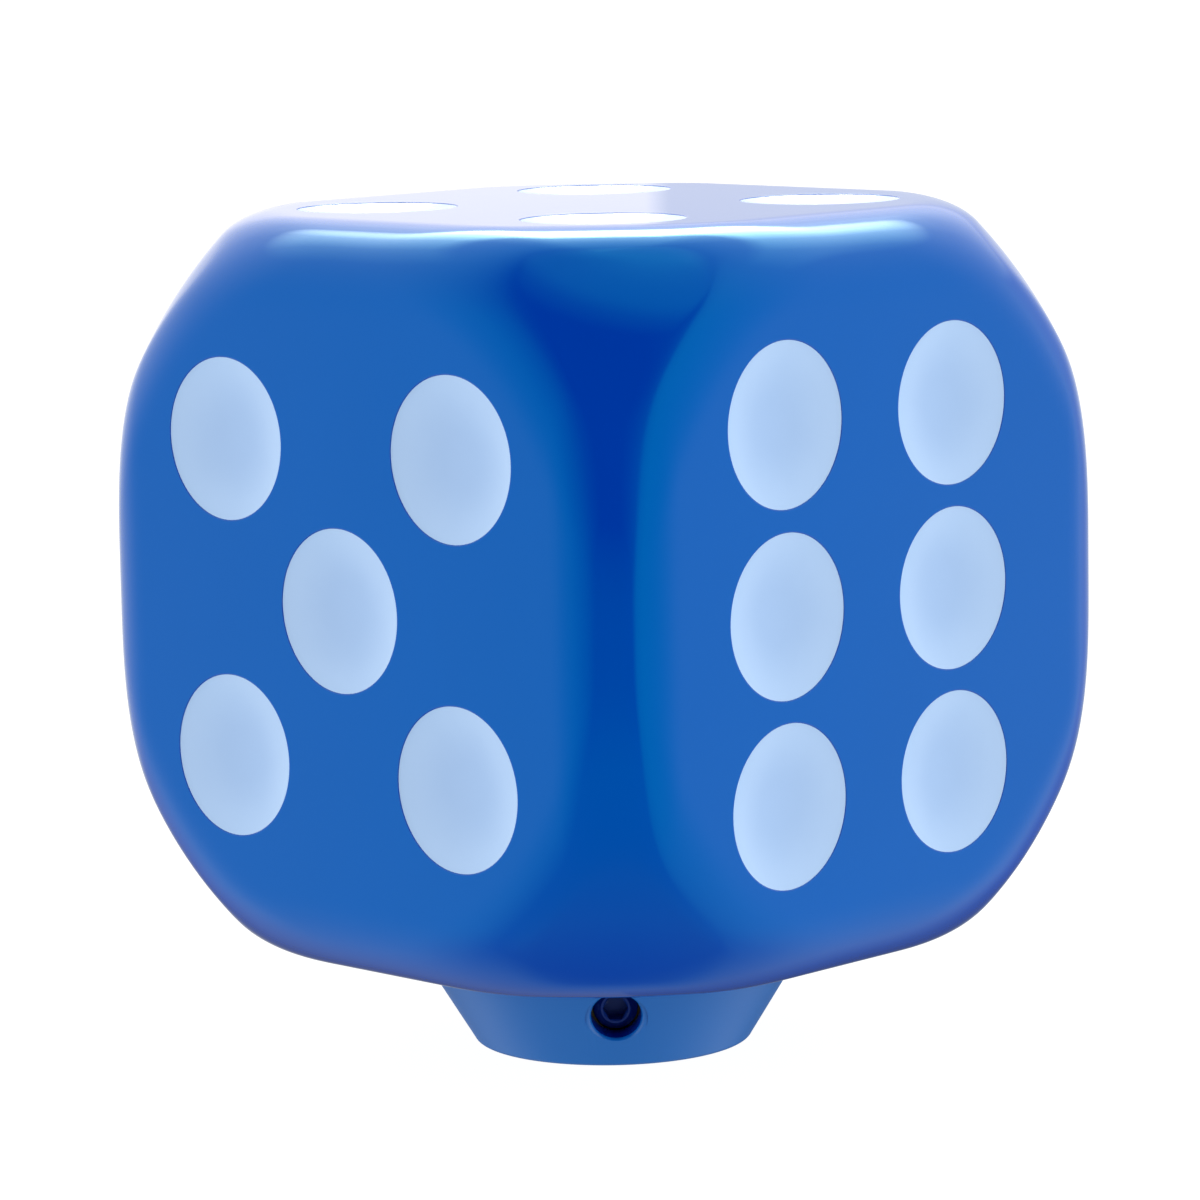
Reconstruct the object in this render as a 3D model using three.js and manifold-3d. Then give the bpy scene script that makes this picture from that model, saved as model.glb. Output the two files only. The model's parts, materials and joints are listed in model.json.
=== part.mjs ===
// A dice-shaped knob for a gear lever, in millimetres, +Z up.
// The origin is the centre of the collar's foot, so the lever's axis is Z and the knob stands on z = 0.
// Five pips face -Y and six face +X; the top shows four, the back two and the left one.
import * as THREE from "three";
import { RoundedBoxGeometry } from "three/addons/geometries/RoundedBoxGeometry.js";
import { mergeVertices } from "three/addons/utils/BufferGeometryUtils.js";
import Module from "manifold-3d";

// Die: a cube with rounded edges, its eight corners taken off by one sphere.
const SIDE = 50;
const EDGE_ROUND = 5.4;
const CORNER_SPHERE = 34.7;

// Pips: flat-walled recesses with a dished floor, each holding a thin dish of enamel.
const PIP_RADIUS = 5.45;
const PIP_WALL = 0.3;
const PIP_DISH = 0.95;
const ENAMEL_THICKNESS = 0.25;
const ENAMEL_BELOW_FACE = 0.05;
const PIP_SPREAD = 10.6;
const SIX_COLUMN = 8.2;
const SIX_ROW = 12.3;
const SIX_SHIFT = -1;

// Collar: a cone that narrows from the die to the foot.
const COLLAR_HEIGHT = 7.6;
const COLLAR_TOP = 13.2;
const COLLAR_FOOT = 10;
const COLLAR_FILLET = 0.9;
const FOOT_ROUND = 0.6;

// Socket: a blind brass cup cast into the die, with two grooves that lock it in the resin.
const SOCKET_OUTER = 8;
const SOCKET_BORE = 6.15;
const SOCKET_MOUTH_Z = 0.3;
const SOCKET_END_Z = 33;
const SOCKET_END_WALL = 2.5;
const GROOVE_DEPTH = 0.5;
const GROOVE_WIDTH = 2;
const GROOVE_STARTS = [14, 24];
const SEAT_RADIUS = 7.2;
const SEAT_DEPTH = 1.3;

// Adapter: a split nylon sleeve with a thin flange, for a 10 mm lever.
const ADAPTER_OUTER = 6.05;
const ADAPTER_BORE = 5.1;
const ADAPTER_FLANGE = 7;
const FLANGE_THICKNESS = 1;
const ADAPTER_FOOT_Z = 0.4;
const ADAPTER_TOP_Z = 28;
const SPLIT_WIDTH = 1.6;

// Grub screws: M3 x 3, three round the collar, each seen from outside through a clearance hole.
const SCREW_RADIUS = 1.5;
const SCREW_LENGTH = 3;
const SCREW_Z = 3.9;
const SCREW_TIP = ADAPTER_OUTER + 0.06;
const POINT_CHAMFER = 0.5;
const KEY_ACROSS_FLATS = 1.5;
const KEY_DEPTH = 1.3;
const TAPPED_RADIUS = 1.56;
const CLEARANCE_RADIUS = 1.7;
const SCREWS = { front: -45, left: -165, right: 75 };

// Clearance between pieces, how far a cutter runs past what it cuts, and how finely curves are faceted.
const GAP = 0.05;
const OVERRUN = 1;
const ROUND_SIDES = 48;
const PIP_SIDES = 24;
const DISH_STEPS = 3;
const FILLET_STEPS = 4;
const EDGE_STEPS = 4;
const SPHERE_SIDES = 60;
const SPHERE_RINGS = 40;
const HEX_SIDES = 6;
const MERGE_DISTANCE = 1e-4;

const CENTRE_Z = COLLAR_HEIGHT + SIDE / 2;
const QUARTER = Math.PI / 2;

const wasm = await Module();
wasm.setup();

// Solids from geometries, and back.

function solidOf(geometry) {
  const bare = new THREE.BufferGeometry();
  bare.setAttribute("position", geometry.getAttribute("position"));
  bare.setIndex(geometry.index);
  const merged = mergeVertices(bare, MERGE_DISTANCE);
  return new wasm.Manifold(
    new wasm.Mesh({
      numProp: 3,
      vertProperties: merged.attributes.position.array,
      triVerts: new Uint32Array(merged.index.array),
    }),
  );
}

function geometryOf(solid) {
  const mesh = solid.getMesh();
  const geometry = new THREE.BufferGeometry();
  geometry.setAttribute("position", new THREE.BufferAttribute(mesh.vertProperties, 3));
  geometry.setIndex(new THREE.BufferAttribute(mesh.triVerts, 1));
  geometry.computeVertexNormals();
  return geometry;
}

// Profiles are lists of [radius, height], turned round Z.
// They start and end on the axis, or close on themselves.

function turned(profile, sides) {
  const points = profile.map(([radius, height]) => new THREE.Vector2(radius, height));
  return new THREE.LatheGeometry(points, sides).rotateX(QUARTER);
}

function arc(centreRadius, centreHeight, radius, from, to, steps) {
  return Array.from({ length: steps + 1 }, (_, i) => {
    const angle = THREE.MathUtils.degToRad(from + ((to - from) * i) / steps);
    return [centreRadius + radius * Math.cos(angle), centreHeight + radius * Math.sin(angle)];
  });
}

// The die.

// Height of a dished floor at a radius: a sphere's cap that is deepest on the axis.
function dishHeight(radius, rimRadius, rimHeight, depth) {
  const sphere = (rimRadius ** 2 + depth ** 2) / (2 * depth);
  return rimHeight - depth + sphere - Math.sqrt(sphere ** 2 - radius ** 2);
}

function dishProfile(rimRadius, rimHeight, depth) {
  return Array.from({ length: DISH_STEPS + 1 }, (_, i) => {
    const radius = (rimRadius * i) / DISH_STEPS;
    return [radius, dishHeight(radius, rimRadius, rimHeight, depth)];
  });
}

// A face's frame: its origin is the face's centre and its +Z is the face's outward normal.
function sideFrame(quarterTurns) {
  return new THREE.Matrix4()
    .makeTranslation(0, 0, CENTRE_Z)
    .multiply(new THREE.Matrix4().makeRotationZ(quarterTurns * QUARTER))
    .multiply(new THREE.Matrix4().makeRotationX(QUARTER))
    .multiply(new THREE.Matrix4().makeTranslation(0, 0, SIDE / 2));
}

function topFrame() {
  return new THREE.Matrix4().makeTranslation(0, 0, CENTRE_Z + SIDE / 2);
}

function sixPlaces() {
  const rows = [SIX_ROW, 0, -SIX_ROW];
  return rows.flatMap((row) => [-SIX_COLUMN, SIX_COLUMN].map((column) => [column + SIX_SHIFT, row]));
}

const CORNERS = [
  [-PIP_SPREAD, PIP_SPREAD],
  [PIP_SPREAD, PIP_SPREAD],
  [-PIP_SPREAD, -PIP_SPREAD],
  [PIP_SPREAD, -PIP_SPREAD],
];

const FACES = [
  { name: "five", frame: sideFrame(0), places: [...CORNERS, [0, 0]] },
  { name: "six", frame: sideFrame(1), places: sixPlaces() },
  { name: "two", frame: sideFrame(2), places: [CORNERS[0], CORNERS[3]] },
  { name: "one", frame: sideFrame(3), places: [[0, 0]] },
  { name: "four", frame: topFrame(), places: CORNERS },
];

function dieBlank() {
  const box = new RoundedBoxGeometry(SIDE, SIDE, SIDE, EDGE_STEPS, EDGE_ROUND);
  const sphere = new THREE.SphereGeometry(CORNER_SPHERE, SPHERE_SIDES, SPHERE_RINGS).rotateX(QUARTER);
  return solidOf(box).intersect(solidOf(sphere)).translate([0, 0, CENTRE_Z]);
}

function collarBlank() {
  const slope = Math.atan2(COLLAR_TOP - COLLAR_FOOT, COLLAR_HEIGHT);
  const tilt = THREE.MathUtils.radToDeg(slope);
  const footInset = FOOT_ROUND * Math.tan((QUARTER + slope) / 2);
  const filletReach = COLLAR_FILLET * Math.tan((QUARTER + slope) / 2);
  const profile = [
    [0, 0],
    ...arc(COLLAR_FOOT - footInset, FOOT_ROUND, FOOT_ROUND, -90, -tilt, FILLET_STEPS),
    ...arc(
      COLLAR_TOP + filletReach,
      COLLAR_HEIGHT - COLLAR_FILLET,
      COLLAR_FILLET,
      180 - tilt,
      90,
      FILLET_STEPS,
    ),
    [COLLAR_TOP + filletReach, COLLAR_HEIGHT + OVERRUN],
    [0, COLLAR_HEIGHT + OVERRUN],
  ];
  return solidOf(turned(profile, ROUND_SIDES));
}

// The socket's outside, grown by a clearance. Its grooves are bands of a smaller radius.
function socketOutline(clearance) {
  const radius = SOCKET_OUTER + clearance;
  const grooves = GROOVE_STARTS.flatMap((start) => [
    [radius, start + clearance],
    [radius - GROOVE_DEPTH, start + clearance],
    [radius - GROOVE_DEPTH, start + GROOVE_WIDTH - clearance],
    [radius, start + GROOVE_WIDTH - clearance],
  ]);
  const top = SOCKET_END_Z + SOCKET_END_WALL + clearance;
  return { radius, grooves, top };
}

function socketPocket() {
  const { radius, grooves, top } = socketOutline(GAP);
  const profile = [[0, -OVERRUN], [radius, -OVERRUN], ...grooves, [radius, top], [0, top]];
  return solidOf(turned(profile, ROUND_SIDES));
}

function pipRecess() {
  const floor = dishProfile(PIP_RADIUS, -PIP_WALL, PIP_DISH);
  return solidOf(turned([...floor, [PIP_RADIUS, OVERRUN], [0, OVERRUN]], PIP_SIDES));
}

// A straight hole from the lever's axis out through the collar.
function radialHole(radius, degrees) {
  const hole = new THREE.CylinderGeometry(radius, radius, COLLAR_TOP, PIP_SIDES);
  hole.rotateZ(QUARTER).translate(COLLAR_TOP / 2, 0, SCREW_Z);
  return solidOf(hole.rotateZ(THREE.MathUtils.degToRad(degrees)));
}

function dieBody() {
  const recess = pipRecess();
  let body = dieBlank().add(collarBlank()).subtract(socketPocket());
  for (const degrees of Object.values(SCREWS)) {
    body = body.subtract(radialHole(CLEARANCE_RADIUS, degrees));
  }
  for (const { frame, places } of FACES) {
    for (const [x, y] of places) {
      const place = frame.clone().multiply(new THREE.Matrix4().makeTranslation(x, y, 0));
      body = body.subtract(recess.transform(place.elements));
    }
  }
  return geometryOf(body);
}

// One pip's enamel: its underside follows the recess, and its top dips from just under the face.
function enamelDish() {
  const rim = PIP_RADIUS - GAP;
  const underRim = -PIP_WALL + GAP;
  const topFloor = underRim - PIP_DISH + ENAMEL_THICKNESS;
  const under = dishProfile(rim, underRim, PIP_DISH);
  const top = dishProfile(rim, -ENAMEL_BELOW_FACE, -ENAMEL_BELOW_FACE - topFloor);
  return turned([...under, ...top.reverse()], PIP_SIDES);
}

// The fittings inside the collar.

function threadedSocket() {
  const { radius, grooves, top } = socketOutline(0);
  const cup = [
    [SEAT_RADIUS, SOCKET_MOUTH_Z],
    [radius, SOCKET_MOUTH_Z],
    ...grooves,
    [radius, top],
    [0, top],
    [0, SOCKET_END_Z],
    [SOCKET_BORE, SOCKET_END_Z],
    [SOCKET_BORE, SOCKET_MOUTH_Z + SEAT_DEPTH],
    [SEAT_RADIUS, SOCKET_MOUTH_Z + SEAT_DEPTH],
    [SEAT_RADIUS, SOCKET_MOUTH_Z],
  ];
  let socket = solidOf(turned(cup, ROUND_SIDES));
  for (const degrees of Object.values(SCREWS)) {
    socket = socket.subtract(radialHole(TAPPED_RADIUS, degrees));
  }
  return geometryOf(socket);
}

function leverAdapter() {
  const sleeve = [
    [ADAPTER_BORE, ADAPTER_FOOT_Z],
    [ADAPTER_FLANGE, ADAPTER_FOOT_Z],
    [ADAPTER_FLANGE, ADAPTER_FOOT_Z + FLANGE_THICKNESS],
    [ADAPTER_OUTER, ADAPTER_FOOT_Z + FLANGE_THICKNESS],
    [ADAPTER_OUTER, ADAPTER_TOP_Z],
    [ADAPTER_BORE, ADAPTER_TOP_Z],
    [ADAPTER_BORE, ADAPTER_FOOT_Z],
  ];
  const split = new THREE.BoxGeometry(ADAPTER_FLANGE + OVERRUN, SPLIT_WIDTH, ADAPTER_TOP_Z + 2 * OVERRUN);
  split.translate((ADAPTER_FLANGE + OVERRUN) / 2, 0, ADAPTER_TOP_Z / 2);
  return geometryOf(solidOf(turned(sleeve, ROUND_SIDES)).subtract(solidOf(split)));
}

// A screw along its own +Z, point at the origin and key socket at the far end.
function grubScrew() {
  const shank = [
    [0, 0],
    [SCREW_RADIUS - POINT_CHAMFER, 0],
    [SCREW_RADIUS, POINT_CHAMFER],
    [SCREW_RADIUS, SCREW_LENGTH],
    [0, SCREW_LENGTH],
  ];
  const keyRadius = KEY_ACROSS_FLATS / Math.sqrt(3);
  const key = new THREE.CylinderGeometry(keyRadius, keyRadius, 2 * KEY_DEPTH, HEX_SIDES).rotateX(QUARTER);
  key.translate(0, 0, SCREW_LENGTH);
  return geometryOf(solidOf(turned(shank, PIP_SIDES)).subtract(solidOf(key)));
}

// The knob.

const resin = new THREE.MeshStandardMaterial({ color: 0x1659b8, roughness: 0.12 });
const enamel = new THREE.MeshStandardMaterial({ color: 0xc3d6f2, roughness: 0.35 });
const brass = new THREE.MeshStandardMaterial({ color: 0xb8923f, roughness: 0.35, metalness: 1 });
const nylon = new THREE.MeshStandardMaterial({ color: 0x202225, roughness: 0.55 });
const blackSteel = new THREE.MeshStandardMaterial({ color: 0x25272b, roughness: 0.4, metalness: 1 });

function named(name, geometry, material) {
  const mesh = new THREE.Mesh(geometry, material);
  mesh.name = name;
  return mesh;
}

function pipGroup({ name, frame, places }) {
  const group = new THREE.Group();
  group.applyMatrix4(frame);
  places.forEach(([x, y], i) => {
    const pip = named(`pip_${name}_${i + 1}`, enamelDish(), enamel);
    pip.position.set(x, y, 0);
    group.add(pip);
  });
  return group;
}

// A screw's group turns its +Z to point straight out of the collar at its own angle.
function screwGroup(name, degrees) {
  const group = new THREE.Group();
  const screw = named(`grub_screw_${name}`, grubScrew(), blackSteel);
  group.rotation.z = THREE.MathUtils.degToRad(degrees);
  screw.rotation.y = QUARTER;
  screw.position.set(SCREW_TIP, 0, SCREW_Z);
  group.add(screw);
  return group;
}

const knob = new THREE.Group();
knob.add(named("die_body", dieBody(), resin));
knob.add(named("threaded_socket", threadedSocket(), brass));
knob.add(named("lever_adapter", leverAdapter(), nylon));
for (const [name, degrees] of Object.entries(SCREWS)) {
  knob.add(screwGroup(name, degrees));
}
for (const face of FACES) {
  knob.add(pipGroup(face));
}

export default knob;
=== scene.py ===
"""A dice-shaped gear-lever knob: a cast blue die on a tapered collar, with enamelled pips.

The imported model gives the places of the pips, the screws and the socket. This script builds the
finished surfaces round them, gives each its finish, and lights the knob in a white studio tent.
Every length is in metres.
"""

from __future__ import annotations

import json
import logging
import math
from collections.abc import Iterable
from dataclasses import dataclass, field
from enum import Enum

import bmesh
import bpy
from mathutils import Matrix, Vector

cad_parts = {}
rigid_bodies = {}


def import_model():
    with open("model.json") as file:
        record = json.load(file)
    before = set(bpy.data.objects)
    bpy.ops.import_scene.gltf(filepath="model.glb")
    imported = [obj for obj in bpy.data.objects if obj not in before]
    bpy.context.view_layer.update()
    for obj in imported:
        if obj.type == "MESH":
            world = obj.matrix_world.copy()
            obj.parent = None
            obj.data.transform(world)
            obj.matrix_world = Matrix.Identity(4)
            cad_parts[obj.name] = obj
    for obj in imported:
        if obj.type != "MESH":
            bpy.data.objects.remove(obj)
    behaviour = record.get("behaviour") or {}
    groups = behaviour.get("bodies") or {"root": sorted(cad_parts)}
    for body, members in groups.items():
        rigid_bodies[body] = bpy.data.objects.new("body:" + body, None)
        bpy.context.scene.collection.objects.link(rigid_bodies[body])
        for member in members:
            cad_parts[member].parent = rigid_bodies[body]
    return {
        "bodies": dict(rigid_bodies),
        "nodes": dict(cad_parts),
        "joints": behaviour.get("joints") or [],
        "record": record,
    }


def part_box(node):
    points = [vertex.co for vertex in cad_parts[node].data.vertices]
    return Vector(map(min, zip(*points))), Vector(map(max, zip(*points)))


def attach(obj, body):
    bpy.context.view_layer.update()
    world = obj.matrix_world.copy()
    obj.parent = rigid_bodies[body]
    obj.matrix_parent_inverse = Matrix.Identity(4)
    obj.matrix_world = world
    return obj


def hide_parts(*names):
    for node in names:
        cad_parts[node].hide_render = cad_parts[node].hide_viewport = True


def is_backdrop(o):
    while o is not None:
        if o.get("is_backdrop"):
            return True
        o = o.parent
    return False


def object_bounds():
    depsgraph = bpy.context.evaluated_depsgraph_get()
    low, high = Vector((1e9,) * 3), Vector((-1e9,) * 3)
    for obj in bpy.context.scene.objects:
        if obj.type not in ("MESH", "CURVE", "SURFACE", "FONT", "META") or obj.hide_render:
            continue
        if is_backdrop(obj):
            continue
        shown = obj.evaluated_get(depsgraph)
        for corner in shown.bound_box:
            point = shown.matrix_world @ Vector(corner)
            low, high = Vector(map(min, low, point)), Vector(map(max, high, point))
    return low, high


LOG = logging.getLogger("knob")
MM = 0.001
ON_AXIS = 1e-7
WELD = 0.0005 * MM
Outline = list[tuple[float, float]]
Stops = tuple[tuple[float, float], ...]
Range = tuple[float, float]
Colour = tuple[float, float, float, float]


class Join(Enum):
    """How a tool's solid changes the piece it meets."""

    ADD = "UNION"
    CUT = "DIFFERENCE"


def arc(centre: tuple[float, float], radius: float, start: float, end: float, steps: int) -> Outline:
    """Points along an arc of an outline.

    Args:
        centre: the arc's centre, as radius and height.
        radius: the arc's own radius.
        start: the angle of the first point, in degrees.
        end: the angle of the last point, in degrees.
        steps: the number of chords.

    Returns:
        The arc's points in order, both ends included.
    """
    points = []
    for step in range(steps + 1):
        angle = math.radians(start + (end - start) * step / steps)
        points.append((centre[0] + radius * math.cos(angle), centre[1] + radius * math.sin(angle)))
    return points


def bowl(rim: float, height: float, depth: float, steps: int) -> Outline:
    """A dished floor's outline, from its deepest point on the axis out to its rim.

    Args:
        rim: the dish's radius.
        height: the height of the rim.
        depth: how far the middle lies below the rim.
        steps: the number of rings, which crowd towards the rim.

    Returns:
        Points on a sphere's cap, from the axis outwards.
    """
    sphere = (rim**2 + depth**2) / (2 * depth)
    points = []
    for step in range(steps + 1):
        radius = rim * math.sin(math.pi / 2 * step / steps)
        points.append((radius, height - depth + sphere - math.sqrt(sphere**2 - radius**2)))
    return points


@dataclass(frozen=True)
class Turning:
    """A closed outline of radius and height, turned round the Z axis."""

    outline: Outline
    sides: int
    sharp_above: float = math.radians(32)

    def mesh(self, name: str, finish: bpy.types.Material | None = None) -> bpy.types.Mesh:
        """Turns the outline into a closed mesh with its faces outwards.

        Args:
            name: the mesh's name.
            finish: the material of every face, if it has one.

        Returns:
            The mesh, smooth where the outline is.
        """
        shape = bmesh.new()
        rings = [self._ring(shape, radius, height) for radius, height in self.outline]
        pairs = list(zip(rings, rings[1:]))
        if self.outline[0][0] > ON_AXIS:
            pairs.append((rings[-1], rings[0]))
        for lower, upper in pairs:
            self._band(shape, lower, upper)
        bmesh.ops.recalc_face_normals(shape, faces=shape.faces)
        mesh = finished_mesh(shape, name, self.sharp_above)
        if finish:
            mesh.materials.append(finish)
        return mesh

    def _ring(self, shape: bmesh.types.BMesh, radius: float, height: float) -> list[bmesh.types.BMVert]:
        """Makes one ring of vertices, or a single one on the axis.

        Args:
            shape: the shape that the ring goes into.
            radius: the ring's radius.
            height: the ring's height.

        Returns:
            The ring's vertices, in order round the axis.
        """
        if radius <= ON_AXIS:
            return [shape.verts.new((0, 0, height))]
        turns = [2 * math.pi * side / self.sides for side in range(self.sides)]
        return [shape.verts.new((radius * math.cos(t), radius * math.sin(t), height)) for t in turns]

    def _band(
        self, shape: bmesh.types.BMesh, lower: list[bmesh.types.BMVert], upper: list[bmesh.types.BMVert]
    ) -> None:
        """Fills the band between two rings with quads, or with triangles where one is a point.

        Args:
            shape: the shape that holds both rings.
            lower: the first ring.
            upper: the ring that follows it in the outline.
        """
        if len(lower) == len(upper) == 1:
            return
        for side in range(self.sides):
            after = (side + 1) % self.sides
            if len(lower) == 1:
                corners = (lower[0], upper[after], upper[side])
            elif len(upper) == 1:
                corners = (lower[side], lower[after], upper[0])
            else:
                corners = (lower[side], lower[after], upper[after], upper[side])
            shape.faces.new(corners)


def finished_mesh(shape: bmesh.types.BMesh, name: str, sharp_above: float) -> bpy.types.Mesh:
    """Writes a shape out as a mesh with smooth faces and sharp corners.

    Args:
        shape: the shape, which is freed.
        name: the mesh's name.
        sharp_above: the angle past which an edge is sharp, in radians.

    Returns:
        The new mesh. An edge between two materials is sharp too, so that each keeps its own shading.
    """
    for face in shape.faces:
        face.smooth = True
    for edge in shape.edges:
        faces = edge.link_faces
        if len(faces) == 2:
            same = faces[0].material_index == faces[1].material_index
            edge.smooth = same and edge.calc_face_angle(0.0) < sharp_above
    mesh = bpy.data.meshes.new(name)
    shape.to_mesh(mesh)
    shape.free()
    return mesh


def new_object(mesh: bpy.types.Mesh, name: str) -> bpy.types.Object:
    """Puts a mesh into the scene as an object at the origin.

    Args:
        mesh: the mesh.
        name: the object's name.

    Returns:
        The object.
    """
    made = bpy.data.objects.new(name, mesh)
    bpy.context.scene.collection.objects.link(made)
    return made


def settle(made: bpy.types.Object) -> None:
    """Replaces an object's mesh with what its modifiers make of it, and removes them.

    Args:
        made: the object.
    """
    evaluated = made.evaluated_get(bpy.context.evaluated_depsgraph_get())
    settled = bpy.data.meshes.new_from_object(evaluated)
    made.modifiers.clear()
    made.data = settled


def combine(piece: bpy.types.Object, tool: bpy.types.Object, join: Join) -> None:
    """Adds a tool's solid to a piece or cuts it away, and removes the tool.

    Args:
        piece: the object that is changed.
        tool: a closed solid whose materials are carried over to the faces that it makes.
        join: whether the tool adds or cuts.
    """
    modifier = piece.modifiers.new(join.name.lower(), "BOOLEAN")
    modifier.operation = join.value
    modifier.solver = "MANIFOLD"
    modifier.material_mode = "TRANSFER"
    modifier.object = tool
    settle(piece)
    bpy.data.objects.remove(tool)


def run_tree(
    made: bpy.types.Object, tree: bpy.types.GeometryNodeTree, inputs: dict[str, object]
) -> None:
    """Runs a Geometry Nodes tree on an object and keeps its result as a plain mesh.

    Args:
        made: the object that the tree fills.
        tree: the tree.
        inputs: a value for each of the tree's inputs, by name.
    """
    modifier = made.modifiers.new(tree.name, "NODES")
    modifier.node_group = tree
    for item in tree.interface.items_tree:
        if item.item_type == "SOCKET" and item.in_out == "INPUT" and item.name in inputs:
            modifier[item.identifier] = inputs[item.name]
    settle(made)


def resharpen(made: bpy.types.Object, sharp_above: float) -> None:
    """Welds a piece's cut edges and marks its sharp ones again after it has been combined.

    Args:
        made: the piece.
        sharp_above: the angle past which an edge is sharp, in radians.
    """
    shape = bmesh.new()
    shape.from_mesh(made.data)
    bmesh.ops.remove_doubles(shape, verts=shape.verts, dist=WELD)
    bmesh.ops.dissolve_degenerate(shape, dist=WELD, edges=shape.edges)
    old = made.data
    made.data = finished_mesh(shape, made.name, sharp_above)
    for finish in old.materials:
        made.data.materials.append(finish)
    bpy.data.meshes.remove(old)


def fit(piece: bpy.types.Object, body: str, nodes: Iterable[str]) -> None:
    """Hands a finished piece to the frame.

    Args:
        piece: the finished object.
        body: the moving body that it rides on.
        nodes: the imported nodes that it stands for.
    """
    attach(piece, body)
    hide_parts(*nodes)
    LOG.info("%s: %d faces, rides on %s", piece.name, len(piece.data.polygons), body)


def lay_out(tree: bpy.types.NodeTree, columns: int = 6) -> None:
    """Spreads a tree's nodes over a grid, so that it can be read in the node editor.

    Args:
        tree: the tree.
        columns: the number of nodes in a row.
    """
    width, height = 220, 260
    for place, node in enumerate(tree.nodes):
        node.location = (place % columns * width, -(place // columns) * height)


# Finishes


@dataclass(frozen=True)
class CastResin:
    """Deep blue casting resin, as smooth as its last step left it. Its highlights whiten towards the back."""

    name: str
    roughness: float
    tint: Colour
    grain_depth: float
    level: float = 1.0
    colour: Colour = (0.0, 0.044, 0.43, 1.0)
    drift_colour: Colour = (0.0, 0.05, 0.455, 1.0)
    back_tint: Colour = (0.4, 0.95, 1.0, 1.0)
    back_reach: Range = (-13 * MM, -34 * MM)
    to_front: tuple[float, float, float] = (math.sqrt(0.5), -math.sqrt(0.5), 0.0)

    def build(self) -> bpy.types.Material:
        """Builds the node material.

        Returns:
            The material.
        """
        material = bpy.data.materials.new(self.name)
        material.use_nodes = True
        tree = material.node_tree
        nodes, links = tree.nodes, tree.links
        nodes.clear()

        pigment_frame = nodes.new("NodeFrame")
        pigment_frame.label = "Pigment"
        gloss_frame = nodes.new("NodeFrame")
        gloss_frame.label = "Polish"
        skin_frame = nodes.new("NodeFrame")
        skin_frame.label = "Cast skin"

        place = nodes.new("ShaderNodeTexCoord")
        place.label = "Place on the casting"
        drift = nodes.new("ShaderNodeTexNoise")
        drift.label = "Slow drift of the pigment as the resin was poured"
        pigment = nodes.new("ShaderNodeMix")
        pigment.label = "Pigment, thin to dense"
        haze = nodes.new("ShaderNodeTexNoise")
        haze.label = "Patches that the polishing mop missed"
        swirl_turn = nodes.new("ShaderNodeMapping")
        swirl_turn.label = "Draws the wipe marks out lengthways"
        swirl = nodes.new("ShaderNodeTexNoise")
        swirl.label = "Hairline wipe marks"
        swirl_limit = nodes.new("ShaderNodeMapRange")
        swirl_limit.label = "Keeps only the deepest wipe marks"
        haze_range = nodes.new("ShaderNodeMapRange")
        haze_range.label = "Haze as roughness"
        gloss = nodes.new("ShaderNodeMath")
        gloss.label = "Haze and wipe marks together"
        shrink = nodes.new("ShaderNodeTexNoise")
        shrink.label = "Shrinkage ripple of the cured skin"
        skin = nodes.new("ShaderNodeBump")
        skin.label = "Ripple as relief"
        along = nodes.new("ShaderNodeVectorMath")
        along.label = "Distance towards the front corner"
        back = nodes.new("ShaderNodeMapRange")
        back.label = "Share of the back's tint"
        tint = nodes.new("ShaderNodeMix")
        tint.label = "Tint of the highlights"
        shader = nodes.new("ShaderNodeBsdfPrincipled")
        shader.label = "Blue resin"
        output = nodes.new("ShaderNodeOutputMaterial")
        output.label = "Casting"
        for node in (drift, pigment):
            node.parent = pigment_frame
        for node in (haze, swirl_turn, swirl, swirl_limit, haze_range, gloss, along, back, tint):
            node.parent = gloss_frame
        for node in (shrink, skin):
            node.parent = skin_frame
        lay_out(tree)

        drift.inputs["Scale"].default_value = 55
        drift.inputs["Detail"].default_value = 3
        drift.inputs["Distortion"].default_value = 1.2
        pigment.data_type = "RGBA"
        pigment.inputs[6].default_value = self.colour
        pigment.inputs[7].default_value = self.drift_colour
        haze.inputs["Scale"].default_value = 90
        haze.inputs["Detail"].default_value = 4
        haze_range.inputs["From Min"].default_value = 0.35
        haze_range.inputs["From Max"].default_value = 0.7
        haze_range.inputs["To Min"].default_value = self.roughness
        haze_range.inputs["To Max"].default_value = self.roughness * 1.35
        swirl_turn.inputs["Rotation"].default_value = (0.4, 0.7, 0.3)
        swirl_turn.inputs["Scale"].default_value = (1, 14, 1)
        swirl.inputs["Scale"].default_value = 260
        swirl.inputs["Detail"].default_value = 2
        swirl_limit.inputs["From Min"].default_value = 0.68
        swirl_limit.inputs["From Max"].default_value = 0.8
        swirl_limit.inputs["To Max"].default_value = 0.05
        gloss.operation = "ADD"
        shrink.inputs["Scale"].default_value = 420
        shrink.inputs["Detail"].default_value = 2
        skin.inputs["Strength"].default_value = 0.25
        skin.inputs["Distance"].default_value = self.grain_depth
        shader.inputs["IOR"].default_value = 1.5
        shader.inputs["Specular IOR Level"].default_value = self.level
        along.operation = "DOT_PRODUCT"
        along.inputs[1].default_value = self.to_front
        back.interpolation_type = "SMOOTHSTEP"
        back.inputs["From Min"].default_value = self.back_reach[0]
        back.inputs["From Max"].default_value = self.back_reach[1]
        tint.data_type = "RGBA"
        tint.inputs[6].default_value = self.tint
        tint.inputs[7].default_value = self.back_tint

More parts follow.
